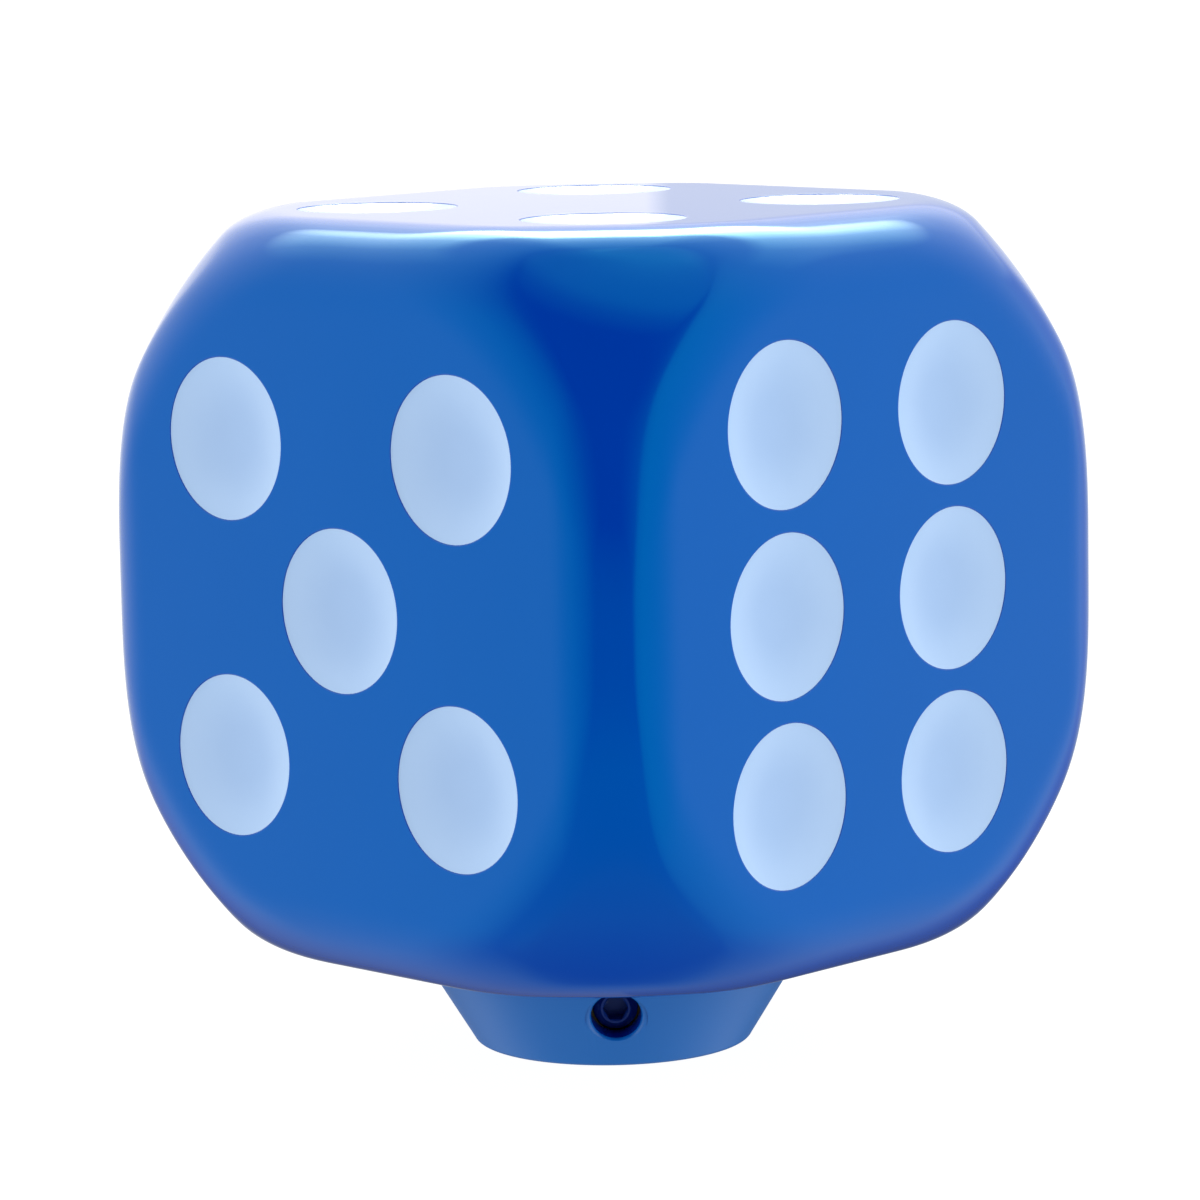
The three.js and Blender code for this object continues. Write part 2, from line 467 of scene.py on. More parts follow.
        for texture in (drift, haze, swirl_turn, shrink):
            links.new(place.outputs["Object"], texture.inputs["Vector"])
        links.new(drift.outputs["Fac"], pigment.inputs[0])
        links.new(pigment.outputs[2], shader.inputs["Base Color"])
        links.new(swirl_turn.outputs["Vector"], swirl.inputs["Vector"])
        links.new(swirl.outputs["Fac"], swirl_limit.inputs["Value"])
        links.new(haze.outputs["Fac"], haze_range.inputs["Value"])
        links.new(haze_range.outputs["Result"], gloss.inputs[0])
        links.new(swirl_limit.outputs["Result"], gloss.inputs[1])
        links.new(gloss.outputs["Value"], shader.inputs["Roughness"])
        links.new(shrink.outputs["Fac"], skin.inputs["Height"])
        links.new(skin.outputs["Normal"], shader.inputs["Normal"])
        links.new(place.outputs["Object"], along.inputs[0])
        links.new(along.outputs["Value"], back.inputs["Value"])
        links.new(back.outputs["Result"], tint.inputs[0])
        links.new(tint.outputs[2], shader.inputs["Specular Tint"])
        links.new(shader.outputs["BSDF"], output.inputs["Surface"])
        return material


@dataclass(frozen=True)
class PipEnamel:
    """Pale enamel flooded into each pip, a little thinner in the middle of the dish than at its rim. The
    darker middle is partly painted shade of the dish, the paler rim partly a painted highlight.
    """

    name: str = "pale_pip_enamel"
    # Middle and rim colours: thin enamel to thick, and also painted shade in the dish's middle and a painted
    # highlight along its rim.
    middle: Colour = (0.355, 0.545, 0.855, 1.0)
    rim: Colour = (0.43, 0.63, 0.93, 1.0)
    roughness: float = 0.2
    level: float = 0.75

    def build(self) -> bpy.types.Material:
        """Builds the node material.

        Returns:
            The material. It reads the dish's own rim attribute, 0 in the middle and 1 at the rim.
        """
        material = bpy.data.materials.new(self.name)
        material.use_nodes = True
        tree = material.node_tree
        nodes, links = tree.nodes, tree.links
        nodes.clear()

        # Pooling frame: thicker enamel at the rim, together with painted dish shade and a painted rim
        # highlight.
        pooling_and_painted_shade_frame = nodes.new("NodeFrame")
        pooling_and_painted_shade_frame.label = "Pooling"
        surface_frame = nodes.new("NodeFrame")
        surface_frame.label = "Dried surface"

        place = nodes.new("ShaderNodeTexCoord")
        place.label = "Place on the knob"
        rim = nodes.new("ShaderNodeAttribute")
        rim.label = "How near the rim"
        flow = nodes.new("ShaderNodeTexNoise")
        flow.label = "Uneven flow of the enamel"
        flow_share = nodes.new("ShaderNodeMath")
        flow_share.label = "Flow shifts the pooling a little"
        # Darker middle, paler rim: partly thicker enamel at the rim, partly painted shade in the dish and a
        # painted highlight at the rim.
        pooling_and_painted_shade = nodes.new("ShaderNodeMapRange")
        pooling_and_painted_shade.label = "Pooling, middle to rim"
        colour = nodes.new("ShaderNodeMix")
        colour.label = "Thin enamel to thick"
        specks = nodes.new("ShaderNodeTexNoise")
        specks.label = "Dull and glossy patches"
        gloss = nodes.new("ShaderNodeMapRange")
        gloss.label = "Patches as roughness"
        peel = nodes.new("ShaderNodeTexNoise")
        peel.label = "Fine orange peel"
        relief = nodes.new("ShaderNodeBump")
        relief.label = "Orange peel as relief"
        shader = nodes.new("ShaderNodeBsdfPrincipled")
        shader.label = "Enamel"
        output = nodes.new("ShaderNodeOutputMaterial")
        output.label = "Pip"
        for node in (rim, flow, flow_share, pooling_and_painted_shade, colour):
            node.parent = pooling_and_painted_shade_frame
        for node in (specks, gloss, peel, relief):
            node.parent = surface_frame
        lay_out(tree)

        rim.attribute_name = "rim"
        flow.inputs["Scale"].default_value = 320
        flow.inputs["Detail"].default_value = 2
        flow_share.operation = "MULTIPLY_ADD"
        flow_share.inputs[1].default_value = 0.2
        pooling_and_painted_shade.interpolation_type = "SMOOTHSTEP"
        pooling_and_painted_shade.inputs["From Min"].default_value = 0.35
        pooling_and_painted_shade.inputs["From Max"].default_value = 1.1
        colour.data_type = "RGBA"
        colour.inputs[6].default_value = self.middle
        colour.inputs[7].default_value = self.rim
        specks.inputs["Scale"].default_value = 900
        gloss.inputs["To Min"].default_value = self.roughness * 0.85
        gloss.inputs["To Max"].default_value = self.roughness * 1.2
        peel.inputs["Scale"].default_value = 1800
        relief.inputs["Strength"].default_value = 0.12
        relief.inputs["Distance"].default_value = 0.02 * MM
        shader.inputs["IOR"].default_value = 1.5
        shader.inputs["Specular IOR Level"].default_value = self.level

        for texture in (flow, specks, peel):
            links.new(place.outputs["Object"], texture.inputs["Vector"])
        links.new(flow.outputs["Fac"], flow_share.inputs[0])
        links.new(rim.outputs["Fac"], flow_share.inputs[2])
        links.new(flow_share.outputs["Value"], pooling_and_painted_shade.inputs["Value"])
        links.new(pooling_and_painted_shade.outputs["Result"], colour.inputs[0])
        links.new(colour.outputs[2], shader.inputs["Base Color"])
        links.new(specks.outputs["Fac"], gloss.inputs["Value"])
        links.new(gloss.outputs["Result"], shader.inputs["Roughness"])
        links.new(peel.outputs["Fac"], relief.inputs["Height"])
        links.new(relief.outputs["Normal"], shader.inputs["Normal"])
        links.new(shader.outputs["BSDF"], output.inputs["Surface"])
        return material


@dataclass(frozen=True)
class TurnedBrass:
    """Free-cutting brass straight off the lathe: fine tool rings, and a thin tarnish in patches."""

    name: str = "turned_brass"
    clean: Colour = (0.78, 0.57, 0.25, 1.0)
    tarnished: Colour = (0.50, 0.33, 0.13, 1.0)

    def build(self) -> bpy.types.Material:
        """Builds the node material.

        Returns:
            The material.
        """
        material = bpy.data.materials.new(self.name)
        material.use_nodes = True
        tree = material.node_tree
        nodes, links = tree.nodes, tree.links
        nodes.clear()

        tarnish_frame = nodes.new("NodeFrame")
        tarnish_frame.label = "Tarnish"
        tool_frame = nodes.new("NodeFrame")
        tool_frame.label = "Tool rings"

        place = nodes.new("ShaderNodeTexCoord")
        place.label = "Place on the cup"
        patches = nodes.new("ShaderNodeTexNoise")
        patches.label = "Tarnish patches"
        patch_edge = nodes.new("ShaderNodeMapRange")
        patch_edge.label = "Edge of the tarnish"
        colour = nodes.new("ShaderNodeMix")
        colour.label = "Clean brass to tarnished"
        dull = nodes.new("ShaderNodeMapRange")
        dull.label = "Tarnish dulls the brass"
        rings = nodes.new("ShaderNodeTexWave")
        rings.label = "Rings left by the feed of the tool"
        relief = nodes.new("ShaderNodeBump")
        relief.label = "Rings as relief"
        shader = nodes.new("ShaderNodeBsdfPrincipled")
        shader.label = "Brass"
        output = nodes.new("ShaderNodeOutputMaterial")
        output.label = "Cup"
        for node in (patches, patch_edge, colour, dull):
            node.parent = tarnish_frame
        for node in (rings, relief):
            node.parent = tool_frame
        lay_out(tree)

        patches.inputs["Scale"].default_value = 210
        patches.inputs["Detail"].default_value = 5
        patch_edge.inputs["From Min"].default_value = 0.42
        patch_edge.inputs["From Max"].default_value = 0.68
        colour.data_type = "RGBA"
        colour.inputs[6].default_value = self.clean
        colour.inputs[7].default_value = self.tarnished
        dull.inputs["To Min"].default_value = 0.2
        dull.inputs["To Max"].default_value = 0.38
        rings.bands_direction = "Z"
        rings.inputs["Scale"].default_value = 1100
        rings.inputs["Distortion"].default_value = 0.6
        rings.inputs["Detail Scale"].default_value = 3
        relief.inputs["Strength"].default_value = 0.35
        relief.inputs["Distance"].default_value = 0.02 * MM
        shader.inputs["Metallic"].default_value = 1
        shader.inputs["Anisotropic"].default_value = 0.4

        links.new(place.outputs["Object"], patches.inputs["Vector"])
        links.new(place.outputs["Object"], rings.inputs["Vector"])
        links.new(patches.outputs["Fac"], patch_edge.inputs["Value"])
        links.new(patch_edge.outputs["Result"], colour.inputs[0])
        links.new(patch_edge.outputs["Result"], dull.inputs["Value"])
        links.new(colour.outputs[2], shader.inputs["Base Color"])
        links.new(dull.outputs["Result"], shader.inputs["Roughness"])
        links.new(rings.outputs["Fac"], relief.inputs["Height"])
        links.new(relief.outputs["Normal"], shader.inputs["Normal"])
        links.new(shader.outputs["BSDF"], output.inputs["Surface"])
        return material


@dataclass(frozen=True)
class MouldedNylon:
    """Black nylon from a spark-eroded mould: a fine even grain, with paler flow lines along the sleeve."""

    name: str = "moulded_nylon"
    colour: Colour = (0.018, 0.019, 0.021, 1.0)
    flow_colour: Colour = (0.034, 0.035, 0.038, 1.0)

    def build(self) -> bpy.types.Material:
        """Builds the node material.

        Returns:
            The material.
        """
        material = bpy.data.materials.new(self.name)
        material.use_nodes = True
        tree = material.node_tree
        nodes, links = tree.nodes, tree.links
        nodes.clear()

        flow_frame = nodes.new("NodeFrame")
        flow_frame.label = "Flow lines"
        grain_frame = nodes.new("NodeFrame")
        grain_frame.label = "Mould grain"

        place = nodes.new("ShaderNodeTexCoord")
        place.label = "Place on the sleeve"
        stretch = nodes.new("ShaderNodeMapping")
        stretch.label = "Draws the flow out along the sleeve"
        flow = nodes.new("ShaderNodeTexNoise")
        flow.label = "Flow of the melt"
        colour = nodes.new("ShaderNodeMix")
        colour.label = "Nylon to flow line"
        grain = nodes.new("ShaderNodeTexVoronoi")
        grain.label = "Pits of the eroded mould"
        relief = nodes.new("ShaderNodeBump")
        relief.label = "Pits as relief"
        sheen_patches = nodes.new("ShaderNodeMapRange")
        sheen_patches.label = "Flow changes the gloss"
        shader = nodes.new("ShaderNodeBsdfPrincipled")
        shader.label = "Nylon"
        output = nodes.new("ShaderNodeOutputMaterial")
        output.label = "Sleeve"
        for node in (stretch, flow, colour):
            node.parent = flow_frame
        for node in (grain, relief, sheen_patches):
            node.parent = grain_frame
        lay_out(tree)

        stretch.inputs["Scale"].default_value = (1, 1, 0.18)
        flow.inputs["Scale"].default_value = 480
        flow.inputs["Detail"].default_value = 4
        colour.data_type = "RGBA"
        colour.inputs[6].default_value = self.colour
        colour.inputs[7].default_value = self.flow_colour
        grain.inputs["Scale"].default_value = 3600
        relief.inputs["Strength"].default_value = 0.3
        relief.inputs["Distance"].default_value = 0.03 * MM
        sheen_patches.inputs["To Min"].default_value = 0.42
        sheen_patches.inputs["To Max"].default_value = 0.58

        links.new(place.outputs["Object"], stretch.inputs["Vector"])
        links.new(place.outputs["Object"], grain.inputs["Vector"])
        links.new(stretch.outputs["Vector"], flow.inputs["Vector"])
        links.new(flow.outputs["Fac"], colour.inputs[0])
        links.new(flow.outputs["Fac"], sheen_patches.inputs["Value"])
        links.new(colour.outputs[2], shader.inputs["Base Color"])
        links.new(sheen_patches.outputs["Result"], shader.inputs["Roughness"])
        links.new(grain.outputs["Distance"], relief.inputs["Height"])
        links.new(relief.outputs["Normal"], shader.inputs["Normal"])
        links.new(shader.outputs["BSDF"], output.inputs["Surface"])
        return material


@dataclass(frozen=True)
class OxideSteelWithPaintedBlueLight:
    """Dark oxide on hardened steel, rubbed thin in small patches. The blue in its colours is painted light:
    the blue that the resin casts into the screw holes.
    """

    name: str = "black_oxide_steel"
    # Both colours carry a painted blue cast, the light from the blue resin round the screw holes.
    oxide: Colour = (0.008, 0.052, 0.29, 1.0)
    bare: Colour = (0.10, 0.15, 0.34, 1.0)
    metal: float = 0.3

    def build(self) -> bpy.types.Material:
        """Builds the node material.

        Returns:
            The material.
        """
        material = bpy.data.materials.new(self.name)
        material.use_nodes = True
        tree = material.node_tree
        nodes, links = tree.nodes, tree.links
        nodes.clear()

        wear_frame = nodes.new("NodeFrame")
        wear_frame.label = "Worn oxide"

        place = nodes.new("ShaderNodeTexCoord")
        place.label = "Place on the screw"
        rub = nodes.new("ShaderNodeTexNoise")
        rub.label = "Where the oxide has rubbed through"
        rub_edge = nodes.new("ShaderNodeMapRange")
        rub_edge.label = "Edge of the bare patches"
        colour = nodes.new("ShaderNodeMix")
        colour.label = "Oxide to bare steel"
        gloss = nodes.new("ShaderNodeMapRange")
        gloss.label = "Bare steel is smoother"
        pores = nodes.new("ShaderNodeTexNoise")
        pores.label = "Pores of the oxide"
        relief = nodes.new("ShaderNodeBump")
        relief.label = "Pores as relief"
        shader = nodes.new("ShaderNodeBsdfPrincipled")
        shader.label = "Steel"
        output = nodes.new("ShaderNodeOutputMaterial")
        output.label = "Screw"
        for node in (rub, rub_edge, colour, gloss):
            node.parent = wear_frame
        lay_out(tree)

        rub.inputs["Scale"].default_value = 1400
        rub.inputs["Detail"].default_value = 6
        rub_edge.inputs["From Min"].default_value = 0.58
        rub_edge.inputs["From Max"].default_value = 0.72
        colour.data_type = "RGBA"
        colour.inputs[6].default_value = self.oxide
        colour.inputs[7].default_value = self.bare
        gloss.inputs["To Min"].default_value = 0.42
        gloss.inputs["To Max"].default_value = 0.26
        pores.inputs["Scale"].default_value = 5200
        relief.inputs["Strength"].default_value = 0.2
        relief.inputs["Distance"].default_value = 0.01 * MM
        shader.inputs["Metallic"].default_value = self.metal

        links.new(place.outputs["Object"], rub.inputs["Vector"])
        links.new(place.outputs["Object"], pores.inputs["Vector"])
        links.new(rub.outputs["Fac"], rub_edge.inputs["Value"])
        links.new(rub_edge.outputs["Result"], colour.inputs[0])
        links.new(rub_edge.outputs["Result"], gloss.inputs["Value"])
        links.new(colour.outputs[2], shader.inputs["Base Color"])
        links.new(gloss.outputs["Result"], shader.inputs["Roughness"])
        links.new(pores.outputs["Fac"], relief.inputs["Height"])
        links.new(relief.outputs["Normal"], shader.inputs["Normal"])
        links.new(shader.outputs["BSDF"], output.inputs["Surface"])
        return material


# Geometry Nodes trees


def die_tree() -> bpy.types.GeometryNodeTree:
    """Builds the tree that makes the die's blank.

    A cube's points, crowded towards its edges, are drawn in along the lines to its centre until they
    lie on the surface where a cube with rounded edges and a sphere meet in a soft blend.

    Returns:
        The tree.
    """
    tree = bpy.data.node_groups.new("rounded_die", "GeometryNodeTree")
    tree.is_modifier = True
    face = tree.interface
    for name, kind in (
        ("Centre", "NodeSocketVector"),
        ("Half side", "NodeSocketFloat"),
        ("Edge radius", "NodeSocketFloat"),
        ("Corner sphere", "NodeSocketFloat"),
        ("Blend radius", "NodeSocketFloat"),
        ("Points along a side", "NodeSocketInt"),
        ("Edge crowding", "NodeSocketFloat"),
        ("Rounds", "NodeSocketInt"),
        ("Finish", "NodeSocketMaterial"),
    ):
        face.new_socket(name, in_out="INPUT", socket_type=kind)
    face.new_socket("Geometry", in_out="OUTPUT", socket_type="NodeSocketGeometry")
    nodes, links = tree.nodes, tree.links

    given = nodes.new("NodeGroupInput")
    given.label = "Sizes"
    side = nodes.new("ShaderNodeMath")
    side.label = "Full side"
    cube = nodes.new("GeometryNodeMeshCube")
    cube.label = "Cube grid"
    start = nodes.new("GeometryNodeInputPosition")
    start.label = "Point on the cube"
    turn_share = nodes.new("ShaderNodeMath")
    turn_share.label = "Angle for each metre from the middle"
    as_angle = nodes.new("ShaderNodeVectorMath")
    as_angle.label = "Place as an angle"
    crowded = nodes.new("ShaderNodeVectorMath")
    crowded.label = "Sine crowds the points at the edges"
    widest = nodes.new("ShaderNodeMath")
    widest.label = "Sine at the edge"
    stretch = nodes.new("ShaderNodeMath")
    stretch.label = "Stretch back to the full side"
    spread = nodes.new("ShaderNodeVectorMath")
    spread.label = "Crowded point"
    crowd = nodes.new("GeometryNodeSetPosition")
    crowd.label = "Crowd the grid"

    loop_in = nodes.new("GeometryNodeRepeatInput")
    loop_in.label = "Each round"
    loop_out = nodes.new("GeometryNodeRepeatOutput")
    loop_out.label = "Drawn in"
    point = nodes.new("GeometryNodeInputPosition")
    point.label = "Point now"
    folded = nodes.new("ShaderNodeVectorMath")
    folded.label = "Same point in the first octant"
    inset = nodes.new("ShaderNodeMath")
    inset.label = "Half side less the edge radius"
    beyond = nodes.new("ShaderNodeVectorMath")
    beyond.label = "Beyond the inner cube"
    outside = nodes.new("ShaderNodeVectorMath")
    outside.label = "Only what is outside"
    outside_length = nodes.new("ShaderNodeVectorMath")
    outside_length.label = "Distance outside"
    split = nodes.new("ShaderNodeSeparateXYZ")
    split.label = "Each direction"
    most_of_two = nodes.new("ShaderNodeMath")
    most_of_two.label = "Larger of two"
    most = nodes.new("ShaderNodeMath")
    most.label = "Largest of three"
    inside = nodes.new("ShaderNodeMath")
    inside.label = "Distance inside"
    to_inner = nodes.new("ShaderNodeMath")
    to_inner.label = "Distance to the inner cube"
    to_box = nodes.new("ShaderNodeMath")
    to_box.label = "Distance to the rounded cube"
    reach = nodes.new("ShaderNodeVectorMath")
    reach.label = "Distance from the centre"
    to_ball = nodes.new("ShaderNodeMath")
    to_ball.label = "Distance to the sphere"
    box_in_blend = nodes.new("ShaderNodeMath")
    box_in_blend.label = "Cube, counted from the blend"
    ball_in_blend = nodes.new("ShaderNodeMath")
    ball_in_blend.label = "Sphere, counted from the blend"
    box_part = nodes.new("ShaderNodeMath")
    box_part.label = "Cube's part of the blend"
    ball_part = nodes.new("ShaderNodeMath")
    ball_part.label = "Sphere's part of the blend"
    blend_arm = nodes.new("ShaderNodeCombineXYZ")
    blend_arm.label = "Both parts"
    blend_length = nodes.new("ShaderNodeVectorMath")
    blend_length.label = "Rounded blend"
    outermost = nodes.new("ShaderNodeMath")
    outermost.label = "Further of the two"
    minus_blend = nodes.new("ShaderNodeMath")
    minus_blend.label = "Minus the blend radius"
    limited = nodes.new("ShaderNodeMath")
    limited.label = "No nearer than the blend"
    distance = nodes.new("ShaderNodeMath")
    distance.label = "Distance to the die"
    back = nodes.new("ShaderNodeMath")
    back.label = "Back by that distance"
    ray = nodes.new("ShaderNodeVectorMath")
    ray.label = "Line from the centre"
    step = nodes.new("ShaderNodeVectorMath")
    step.label = "Step along the line"
    draw_in = nodes.new("GeometryNodeSetPosition")
    draw_in.label = "Draw the points in"

    lift = nodes.new("GeometryNodeTransform")
    lift.label = "Up to the die's centre"
    smooth = nodes.new("GeometryNodeSetShadeSmooth")
    smooth.label = "Smooth"
    realize = nodes.new("GeometryNodeRealizeInstances")
    realize.label = "Plain mesh"
    finish = nodes.new("GeometryNodeSetMaterial")
    finish.label = "Finish"
    result = nodes.new("NodeGroupOutput")
    result.label = "Die blank"
    lay_out(tree, 8)

    for node in (side, minus_blend, back):
        node.operation = "MULTIPLY"
    for node in (as_angle, spread, step):
        node.operation = "SCALE"
    for node in (inset, beyond, to_box, to_ball):
        node.operation = "SUBTRACT"
    for node in (outside, most_of_two, most, box_part, ball_part, outermost):
        node.operation = "MAXIMUM"
    for node in (outside_length, reach, blend_length):
        node.operation = "LENGTH"
    for node in (to_inner, box_in_blend, ball_in_blend, distance):
        node.operation = "ADD"
    side.inputs[1].default_value = 2
    turn_share.operation = "DIVIDE"
    crowded.operation = "SINE"
    widest.operation = "SINE"
    stretch.operation = "DIVIDE"
    loop_in.pair_with_output(loop_out)
    folded.operation = "ABSOLUTE"
    inside.operation = "MINIMUM"
    inside.inputs[1].default_value = 0
    box_part.inputs[1].default_value = 0
    ball_part.inputs[1].default_value = 0
    minus_blend.inputs[1].default_value = -1
    limited.operation = "MINIMUM"
    back.inputs[1].default_value = -1
    ray.operation = "NORMALIZE"

    links.new(given.outputs["Half side"], side.inputs[0])
    links.new(side.outputs[0], cube.inputs["Size"])
    for count in ("Vertices X", "Vertices Y", "Vertices Z"):
        links.new(given.outputs["Points along a side"], cube.inputs[count])
    links.new(given.outputs["Edge crowding"], turn_share.inputs[0])
    links.new(given.outputs["Half side"], turn_share.inputs[1])
    links.new(start.outputs[0], as_angle.inputs[0])
    links.new(turn_share.outputs[0], as_angle.inputs["Scale"])
    links.new(as_angle.outputs[0], crowded.inputs[0])
    links.new(given.outputs["Edge crowding"], widest.inputs[0])
    links.new(given.outputs["Half side"], stretch.inputs[0])
    links.new(widest.outputs[0], stretch.inputs[1])
    links.new(crowded.outputs[0], spread.inputs[0])
    links.new(stretch.outputs[0], spread.inputs["Scale"])
    links.new(cube.outputs["Mesh"], crowd.inputs["Geometry"])
    links.new(spread.outputs[0], crowd.inputs["Position"])

    links.new(given.outputs["Rounds"], loop_in.inputs["Iterations"])
    links.new(crowd.outputs["Geometry"], loop_in.inputs["Geometry"])
    links.new(point.outputs[0], folded.inputs[0])
    links.new(given.outputs["Half side"], inset.inputs[0])
    links.new(given.outputs["Edge radius"], inset.inputs[1])
    links.new(folded.outputs[0], beyond.inputs[0])
    links.new(inset.outputs[0], beyond.inputs[1])
    links.new(beyond.outputs[0], outside.inputs[0])
    links.new(outside.outputs[0], outside_length.inputs[0])
    links.new(beyond.outputs[0], split.inputs[0])
    links.new(split.outputs["X"], most_of_two.inputs[0])
    links.new(split.outputs["Y"], most_of_two.inputs[1])
    links.new(most_of_two.outputs[0], most.inputs[0])
    links.new(split.outputs["Z"], most.inputs[1])
    links.new(most.outputs[0], inside.inputs[0])
    links.new(outside_length.outputs["Value"], to_inner.inputs[0])
    links.new(inside.outputs[0], to_inner.inputs[1])
    links.new(to_inner.outputs[0], to_box.inputs[0])
    links.new(given.outputs["Edge radius"], to_box.inputs[1])
    links.new(point.outputs[0], reach.inputs[0])
    links.new(reach.outputs["Value"], to_ball.inputs[0])
    links.new(given.outputs["Corner sphere"], to_ball.inputs[1])
    links.new(to_box.outputs[0], box_in_blend.inputs[0])
    links.new(given.outputs["Blend radius"], box_in_blend.inputs[1])
    links.new(to_ball.outputs[0], ball_in_blend.inputs[0])
    links.new(given.outputs["Blend radius"], ball_in_blend.inputs[1])
    links.new(box_in_blend.outputs[0], box_part.inputs[0])
    links.new(ball_in_blend.outputs[0], ball_part.inputs[0])
    links.new(box_part.outputs[0], blend_arm.inputs["X"])
    links.new(ball_part.outputs[0], blend_arm.inputs["Y"])
    links.new(blend_arm.outputs[0], blend_length.inputs[0])
    links.new(to_box.outputs[0], outermost.inputs[0])
    links.new(to_ball.outputs[0], outermost.inputs[1])
    links.new(given.outputs["Blend radius"], minus_blend.inputs[0])
    links.new(outermost.outputs[0], limited.inputs[0])
    links.new(minus_blend.outputs[0], limited.inputs[1])
    links.new(limited.outputs[0], distance.inputs[0])
    links.new(blend_length.outputs["Value"], distance.inputs[1])
    links.new(distance.outputs[0], back.inputs[0])
    links.new(point.outputs[0], ray.inputs[0])
    links.new(ray.outputs[0], step.inputs[0])
    links.new(back.outputs[0], step.inputs["Scale"])
    links.new(loop_in.outputs["Geometry"], draw_in.inputs["Geometry"])
    links.new(step.outputs[0], draw_in.inputs["Offset"])
    links.new(draw_in.outputs["Geometry"], loop_out.inputs["Geometry"])

    links.new(loop_out.outputs["Geometry"], lift.inputs["Geometry"])
    links.new(given.outputs["Centre"], lift.inputs["Translation"])
    links.new(lift.outputs["Geometry"], smooth.inputs["Geometry"])
    links.new(smooth.outputs["Geometry"], realize.inputs["Geometry"])
    links.new(realize.outputs["Geometry"], finish.inputs["Geometry"])
    links.new(given.outputs["Finish"], finish.inputs["Material"])
    links.new(finish.outputs["Geometry"], result.inputs["Geometry"])
    return tree


def pip_tree() -> bpy.types.GeometryNodeTree:
    """Builds the tree that puts a copy of one pip's shape at every pip, facing straight out.

    Returns:
        The tree. Its points carry an "outward" direction.
    """
    tree = bpy.data.node_groups.new("pip_pattern", "GeometryNodeTree")
    tree.is_modifier = True
    tree.interface.new_socket("Points", in_out="INPUT", socket_type="NodeSocketGeometry")
    tree.interface.new_socket("Pip shape", in_out="INPUT", socket_type="NodeSocketObject")
    tree.interface.new_socket("Finish", in_out="INPUT", socket_type="NodeSocketMaterial")
    tree.interface.new_socket("Geometry", in_out="OUTPUT", socket_type="NodeSocketGeometry")
    nodes, links = tree.nodes, tree.links

    given = nodes.new("NodeGroupInput")
    given.label = "Pip places"
    shape = nodes.new("GeometryNodeObjectInfo")
    shape.label = "One pip"
    outward = nodes.new("GeometryNodeInputNamedAttribute")
    outward.label = "Straight out of the face"
    aim = nodes.new("FunctionNodeAlignRotationToVector")
    aim.label = "Turn the pip to face out"
    copies = nodes.new("GeometryNodeInstanceOnPoints")
    copies.label = "A pip at each place"
    realize = nodes.new("GeometryNodeRealizeInstances")
    realize.label = "Plain mesh"
    finish = nodes.new("GeometryNodeSetMaterial")
    finish.label = "Finish"
    result = nodes.new("NodeGroupOutput")
    result.label = "Pips"
    lay_out(tree)

    outward.data_type = "FLOAT_VECTOR"
    outward.inputs["Name"].default_value = "outward"
    aim.axis = "Z"

    links.new(given.outputs["Pip shape"], shape.inputs["Object"])
    links.new(outward.outputs["Attribute"], aim.inputs["Vector"])
    links.new(given.outputs["Points"], copies.inputs["Points"])
    links.new(shape.outputs["Geometry"], copies.inputs["Instance"])
    links.new(aim.outputs["Rotation"], copies.inputs["Rotation"])
    links.new(copies.outputs["Instances"], realize.inputs["Geometry"])
    links.new(realize.outputs["Geometry"], finish.inputs["Geometry"])
    links.new(given.outputs["Finish"], finish.inputs["Material"])
    links.new(finish.outputs["Geometry"], result.inputs["Geometry"])
    return tree


